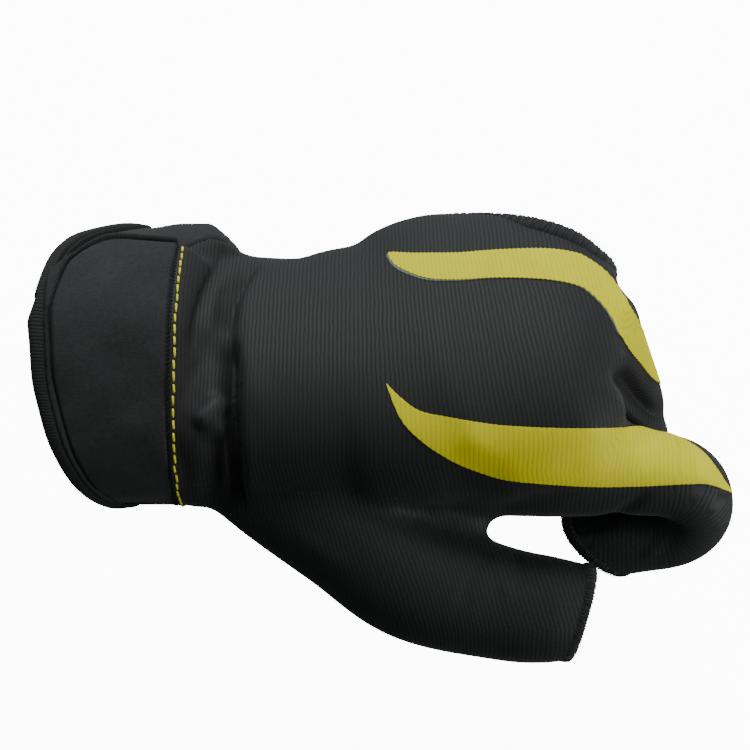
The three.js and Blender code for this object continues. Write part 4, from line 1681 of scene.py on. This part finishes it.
    def flap_tape(self, finish: Finish) -> Piece:
        """Makes the binding along the flap's rim and its free end."""
        out = lambda turn, x: self.flap_out(turn)
        levels = (-self.padded - self.swell, self.swell)
        bm = bmesh.new()
        self.sheet(
            bm, self.flap_place, out, (0, self.flap_end), *levels, 200, 26, self.rim_at, self.tape_edge, edge=0.22,
            relief=self.tape_relief,
        )
        piping = (1 - self.piping_share, 1.0)
        cord = (self.piping_share / 2, self.piping_share / 2)
        self.sheet(
            bm, self.flap_place, out, piping, *levels, 16, 60, self.after_tape, self.seam, edge=0.02, ends=cord,
        )
        self.sheet(
            bm, self.flap_place, out, piping, *levels, 8, 20, self.rim_at, self.after_tape, (0, 1.06), edge=0.1,
        )
        corner = (self.flap_end - 0.002, 1.0)
        self.sheet(bm, self.flap_place, out, corner, *levels, 10, 20, self.rim_at, self.tape_edge, edge=0.22)
        bm = remeshed(bm, 0.42)
        soften(bm, 4)
        return self.dressed(bm, "flap_tape", finish, "flap_piping", True)

    def band_tape(self, finish: Finish) -> Piece:
        """Makes the binding along the band's rim."""
        bm = bmesh.new()
        self.sheet(
            bm, self.band_place, lambda turn, x: 0.0 * turn, (0, 1), -self.padded - self.swell, self.swell, 260, 26,
            self.rim_at, self.tape_edge, edge=0.22, relief=self.tape_relief,
        )
        return self.dressed(bm, "band_tape", finish, "band_piping", True)

    def dressed(
        self, bm: Mesh, name: str, finish: Finish, node: str, taped: bool = False
    ) -> Piece:
        """Finishes a piece of the cuff with its pattern's coordinates."""
        points = coordinates(bm)
        x, y, z = points.T
        turn = self.turn_at(points)
        made = as_object(bm, name)
        behind_rim = x - self.rim_at(turn)
        round_wrist = np.radians(turn) * 33
        if taped:
            on_end = behind_rim > self.tape + self.groove + 0.3
            put_values(made, "rib", np.where(on_end, x, round_wrist))
            put_values(made, "flat", np.where(on_end, 0.4, smoothstep(behind_rim, self.tape * 0.7, self.tape * 0.78)))
            # edge places the painted shade along the tape's sewn groove
            put_values(made, "edge", np.where(on_end, 9.0, behind_rim))
        else:
            # edge places the painted shade along the cloth's edge under the tape
            put_values(made, "edge", behind_rim - self.tape + 0.3)
            put_values(made, "rib", x)
            put_values(made, "round", round_wrist)
        return finish_piece(made, finish, (node,))


# ---------------------------------------------------------------- stitches


@dataclass
class WristSeam:
    """Yellow topstitch beside the wrist seam, and the dark stitches that close it."""

    offset: float = 1.3
    stitch: float = 2.2
    gap: float = 0.6
    radius: float = 0.27

    def line(self, x: float, knit: KnitBody, count: int) -> tuple[Array, Array]:
        """Gives points of the knit at a place along the hand, with their normals."""
        points, normals = [], []
        for turn in np.linspace(0, 2 * math.pi, 1440, endpoint=False):
            out = Vector((0.0, math.cos(turn), math.sin(turn)))
            place, normal, _, _ = knit.surface.ray_cast(Vector((x, 0, 0)) + out * 70, -out)
            points.append(place[:])
            normals.append(normal[:])
        path = even_path(np.array(points), count, True)
        placed = [knit.surface.find_nearest(Vector(p)) for p in path]
        return np.array([hit[0][:] for hit in placed]), np.array([hit[1][:] for hit in placed])

    def topstitch(self, knit: KnitBody, cuff: Cuff, thread: Finish) -> Piece:
        """Sews the yellow topstitch.

        Args:
            knit: the knit that it lies on.
            cuff: the cuff that it runs beside.
            thread: its material.

        Returns:
            The finished piece.
        """
        points, normals = self.line(SEAM_X + self.offset, knit, 720)
        step = path_length(points, True) / len(points)
        stride = (self.stitch + self.gap) / step
        long = self.stitch / step
        rng = np.random.default_rng(3)
        bm = bmesh.new()
        for k in range(int(len(points) / stride)):
            start = k * stride
            sway = rng.normal(0, 0.08)
            ends = points[[int(start) % len(points), int(start + long) % len(points)]]
            if any(-50 < turn < cuff.free_turn + 2.5 for turn in cuff.turn_at(ends)):
                continue
            path = []
            for t in np.linspace(0, 1, 7):
                i = int(start + t * long) % len(points)
                lift = -0.12 + 0.34 * math.sin(math.pi * t) ** 0.5
                path.append(points[i] + normals[i] * lift + np.array([sway + 0.12 * (t - 0.5), 0, 0]))
            add_thread(bm, np.array(path), self.radius, 8, 0.5)
        made = as_object(bm, "wrist_topstitch")
        return finish_piece(made, thread)

    def ladder(self, knit: KnitBody, cuff: Cuff, thread: Finish) -> Piece:
        """Sews the small dark stitches across the seam.

        Args:
            knit: the knit on one side.
            cuff: the cuff on the other.
            thread: their material.

        Returns:
            The finished piece.
        """
        points, normals = self.line(SEAM_X + 0.55, knit, 210)
        bm = bmesh.new()
        for p, n in zip(points, normals):
            turn = float(cuff.turn_at(p[None])[0])
            if -50 < turn < cuff.free_turn + 3:
                continue
            level = float(cuff.flap_out(np.array(turn))) if turn > 0 else 0.0
            q = cuff.on_cuff(np.array([SEAM_X - 0.75]), np.array([turn]), np.array([level - 0.05]))[0]
            middle = (p + q) / 2 + n * 0.06
            add_thread(bm, np.array([p - n * 0.15, p + n * 0.06, middle, q + n * 0.04, q - n * 0.2]), 0.1, 4, 0.6)
        made = as_object(bm, "seam_stitches")
        return finish_piece(made, thread)


# ---------------------------------------------------------------- stage


@dataclass(frozen=True)
class Studio:
    """Camera, floor and lights."""

    field_of_view: float = 26.4
    distance: float = 0.4
    floor_drop: float = 0.06
    floor_size: float = 4.0
    low_fill: float = 0.06
    high_fill: float = 0.95

    def camera(self) -> Piece:
        """Sets the camera square to the drawing plane."""
        data = bpy.data.cameras.new("view")
        data.sensor_width = 36.0
        data.sensor_height = 36.0
        data.sensor_fit = "HORIZONTAL"
        data.lens = 18.0 / math.tan(math.radians(self.field_of_view / 2))
        data.clip_start = 0.01
        data.dof.use_dof = False
        made = linked("view", data)
        made.location = Vector(DRAWING_CENTRE * METRES) + Vector(OUTWARD) * self.distance
        made.rotation_euler = (math.pi / 2 - TILT, 0, 0)
        bpy.context.scene.camera = made
        return made

    def floor(self, low: float) -> Piece:
        """Lays the floor below the glove."""
        bm = bmesh.new()
        bmesh.ops.create_grid(bm, x_segments=2, y_segments=2, size=self.floor_size)
        bmesh.ops.translate(bm, verts=bm.verts, vec=(0, 0, low - self.floor_drop))
        made = as_object(bm, "floor", 1.0)
        made.data.materials.append(FloorFinish().material())
        made.visible_diffuse = False
        made.visible_glossy = False
        made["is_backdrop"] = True
        return made

    def light(self, name: str, place: Sequence[float], size: float, power: float, tint: Sequence[float]) -> None:
        """Hangs a soft square light that looks at the glove."""
        data = bpy.data.lights.new(name, "AREA")
        data.shape = "SQUARE"
        data.size = size
        data.energy = power
        data.color = tint
        made = linked(name, data)
        made.location = place
        aim = Vector((0.08, 0, 0)) - Vector(place)
        made.rotation_euler = aim.to_track_quat("-Z", "Y").to_euler()

    def world(self) -> None:
        """Fills the room with plain light that comes mostly from above."""
        world = bpy.data.worlds.new("room")
        bpy.context.scene.world = world
        world.use_nodes = True
        nodes, links = world.node_tree.nodes, world.node_tree.links
        ground = nodes["Background"]
        ground.inputs["Color"].default_value = (1, 1, 1, 1)
        turned = nodes.new("ShaderNodeVectorMath")
        turned.operation = "DOT_PRODUCT"
        turned.inputs[1].default_value = (0.22, 0.38, 0.9)
        links.new(nodes.new("ShaderNodeTexCoord").outputs["Generated"], turned.inputs[0])
        spread = nodes.new("ShaderNodeMapRange")
        for target, value in zip(list(spread.inputs)[1:5], (-0.35, 1.0, self.low_fill, self.high_fill)):
            target.default_value = value
        links.new(turned.outputs["Value"], spread.inputs[0])
        links.new(spread.outputs[0], ground.inputs["Strength"])

    def set_up(self, low: float) -> None:
        """Sets up the whole stage above a floor under the lowest point."""
        self.camera()
        self.floor(low)
        self.world()
        self.light("top", (0.04, 0.42, 0.66), 0.4, 6.2, (0.96, 1.0, 0.99))
        self.light("side", (0.5, -0.2, -0.02), 0.2, 1.5, (1.0, 1.0, 0.98))


# ---------------------------------------------------------------- the glove


INDEX_STRIPE: tuple[tuple[float, float, float], ...] = (
    (0.0275, -0.02, -0.022), (0.0625, -0.055, -0.108), (0.1125, -0.09, -0.163), (0.1875, -0.106, -0.212),
    (0.2625, -0.119, -0.243), (0.3375, -0.1275, -0.263), (0.4625, -0.133, -0.274), (0.5625, -0.133, -0.279),
    (0.6625, -0.13, -0.278), (0.7125, -0.137, -0.276), (0.7875, -0.17, -0.273), (0.8375, -0.2125, -0.275),
    (0.89, -0.29, -0.294),
)
MIDDLE_STRIPE: tuple[tuple[float, float, float], ...] = (
    (0.0325, 0.305, 0.3), (0.05, 0.306, 0.275), (0.0875, 0.304, 0.255), (0.1375, 0.304, 0.24),
    (0.2125, 0.305, 0.2375), (0.3125, 0.3125, 0.2425), (0.425, 0.315, 0.2385), (0.5, 0.305, 0.225),
    (0.5375, 0.2875, 0.205), (0.58, 0.255, 0.16), (0.6125, 0.2125, 0.1), (0.6375, 0.17, 0.06),
    (0.6625, 0.125, 0.03), (0.69, 0.06, -0.005), (0.7175, -0.02, -0.025),
)


def build_glove(frame: dict) -> None:
    """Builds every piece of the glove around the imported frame.
    """
    form = HandForm()
    cuff = Cuff()
    knit = KnitBody(form)
    knit.build(cuff)
    knit.dress(KnitFinish())
    film = FilmFinish()
    Accent("index_accent", INDEX_STRIPE, -0.02, ("index_stripe",)).build(knit, film)
    Accent("middle_accent", MIDDLE_STRIPE, -0.18, ("middle_stripe",), frayed=0.09).build(knit, film)
    backing = FilmFinish((0.16, 0.18, 0.18), (0.08, 0.09, 0.09))
    shifted = tuple(
        (at - 0.003, over - 0.002, under - 0.0055 * max(0.0, 1 - at / 0.36)) for at, over, under in MIDDLE_STRIPE[:-4]
    )
    Accent("middle_backing", shifted, -0.18, lift=0.04, thickness=0.08).build(knit, backing)
    hem_cloth = HemFinish().material()
    dark_thread = ThreadFinish((0.004, 0.004, 0.005), (0.03, 0.032, 0.036), 0.7).material("dark_thread")
    yellow_thread = ThreadFinish((0.4, 0.36, 0.01), (0.8, 0.75, 0.05), 0.7).material("yellow_thread")
    hems = [Hem(rim, 2.6, 0.35) for rim in (Rim.INDEX, Rim.MIDDLE, Rim.THUMB)]
    for hem in (*hems, Hem(Rim.SIDE, pitch=1.15, strand=0.15, smooth_from=104.0)):
        hem.build(knit, hem_cloth, dark_thread)
    cuff_cloth = CuffFinish().material()
    tape = TapeFinish().material()
    cuff.flap(cuff_cloth)
    cuff.band(cuff_cloth)
    cuff.flap_tape(tape)
    cuff.band_tape(tape)
    seam = WristSeam()
    seam.topstitch(knit, cuff, yellow_thread)
    seam_thread = ThreadFinish((0.004, 0.0046, 0.0048), (0.013, 0.0148, 0.015), 0.75).material("seam_thread")
    seam.ladder(knit, cuff, seam_thread)
    pad = frame["nodes"]["hook_pad"]
    pad.data.materials.clear()
    pad.data.materials.append(HookFinish().material())


def main() -> None:
    """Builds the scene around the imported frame."""
    logging.basicConfig(level=logging.INFO, format="%(name)s: %(message)s")
    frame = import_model()
    packed = [list(corner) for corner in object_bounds()]
    Studio().set_up(packed[0][2])
    build_glove(frame)


if __name__ == "__main__":
    main()
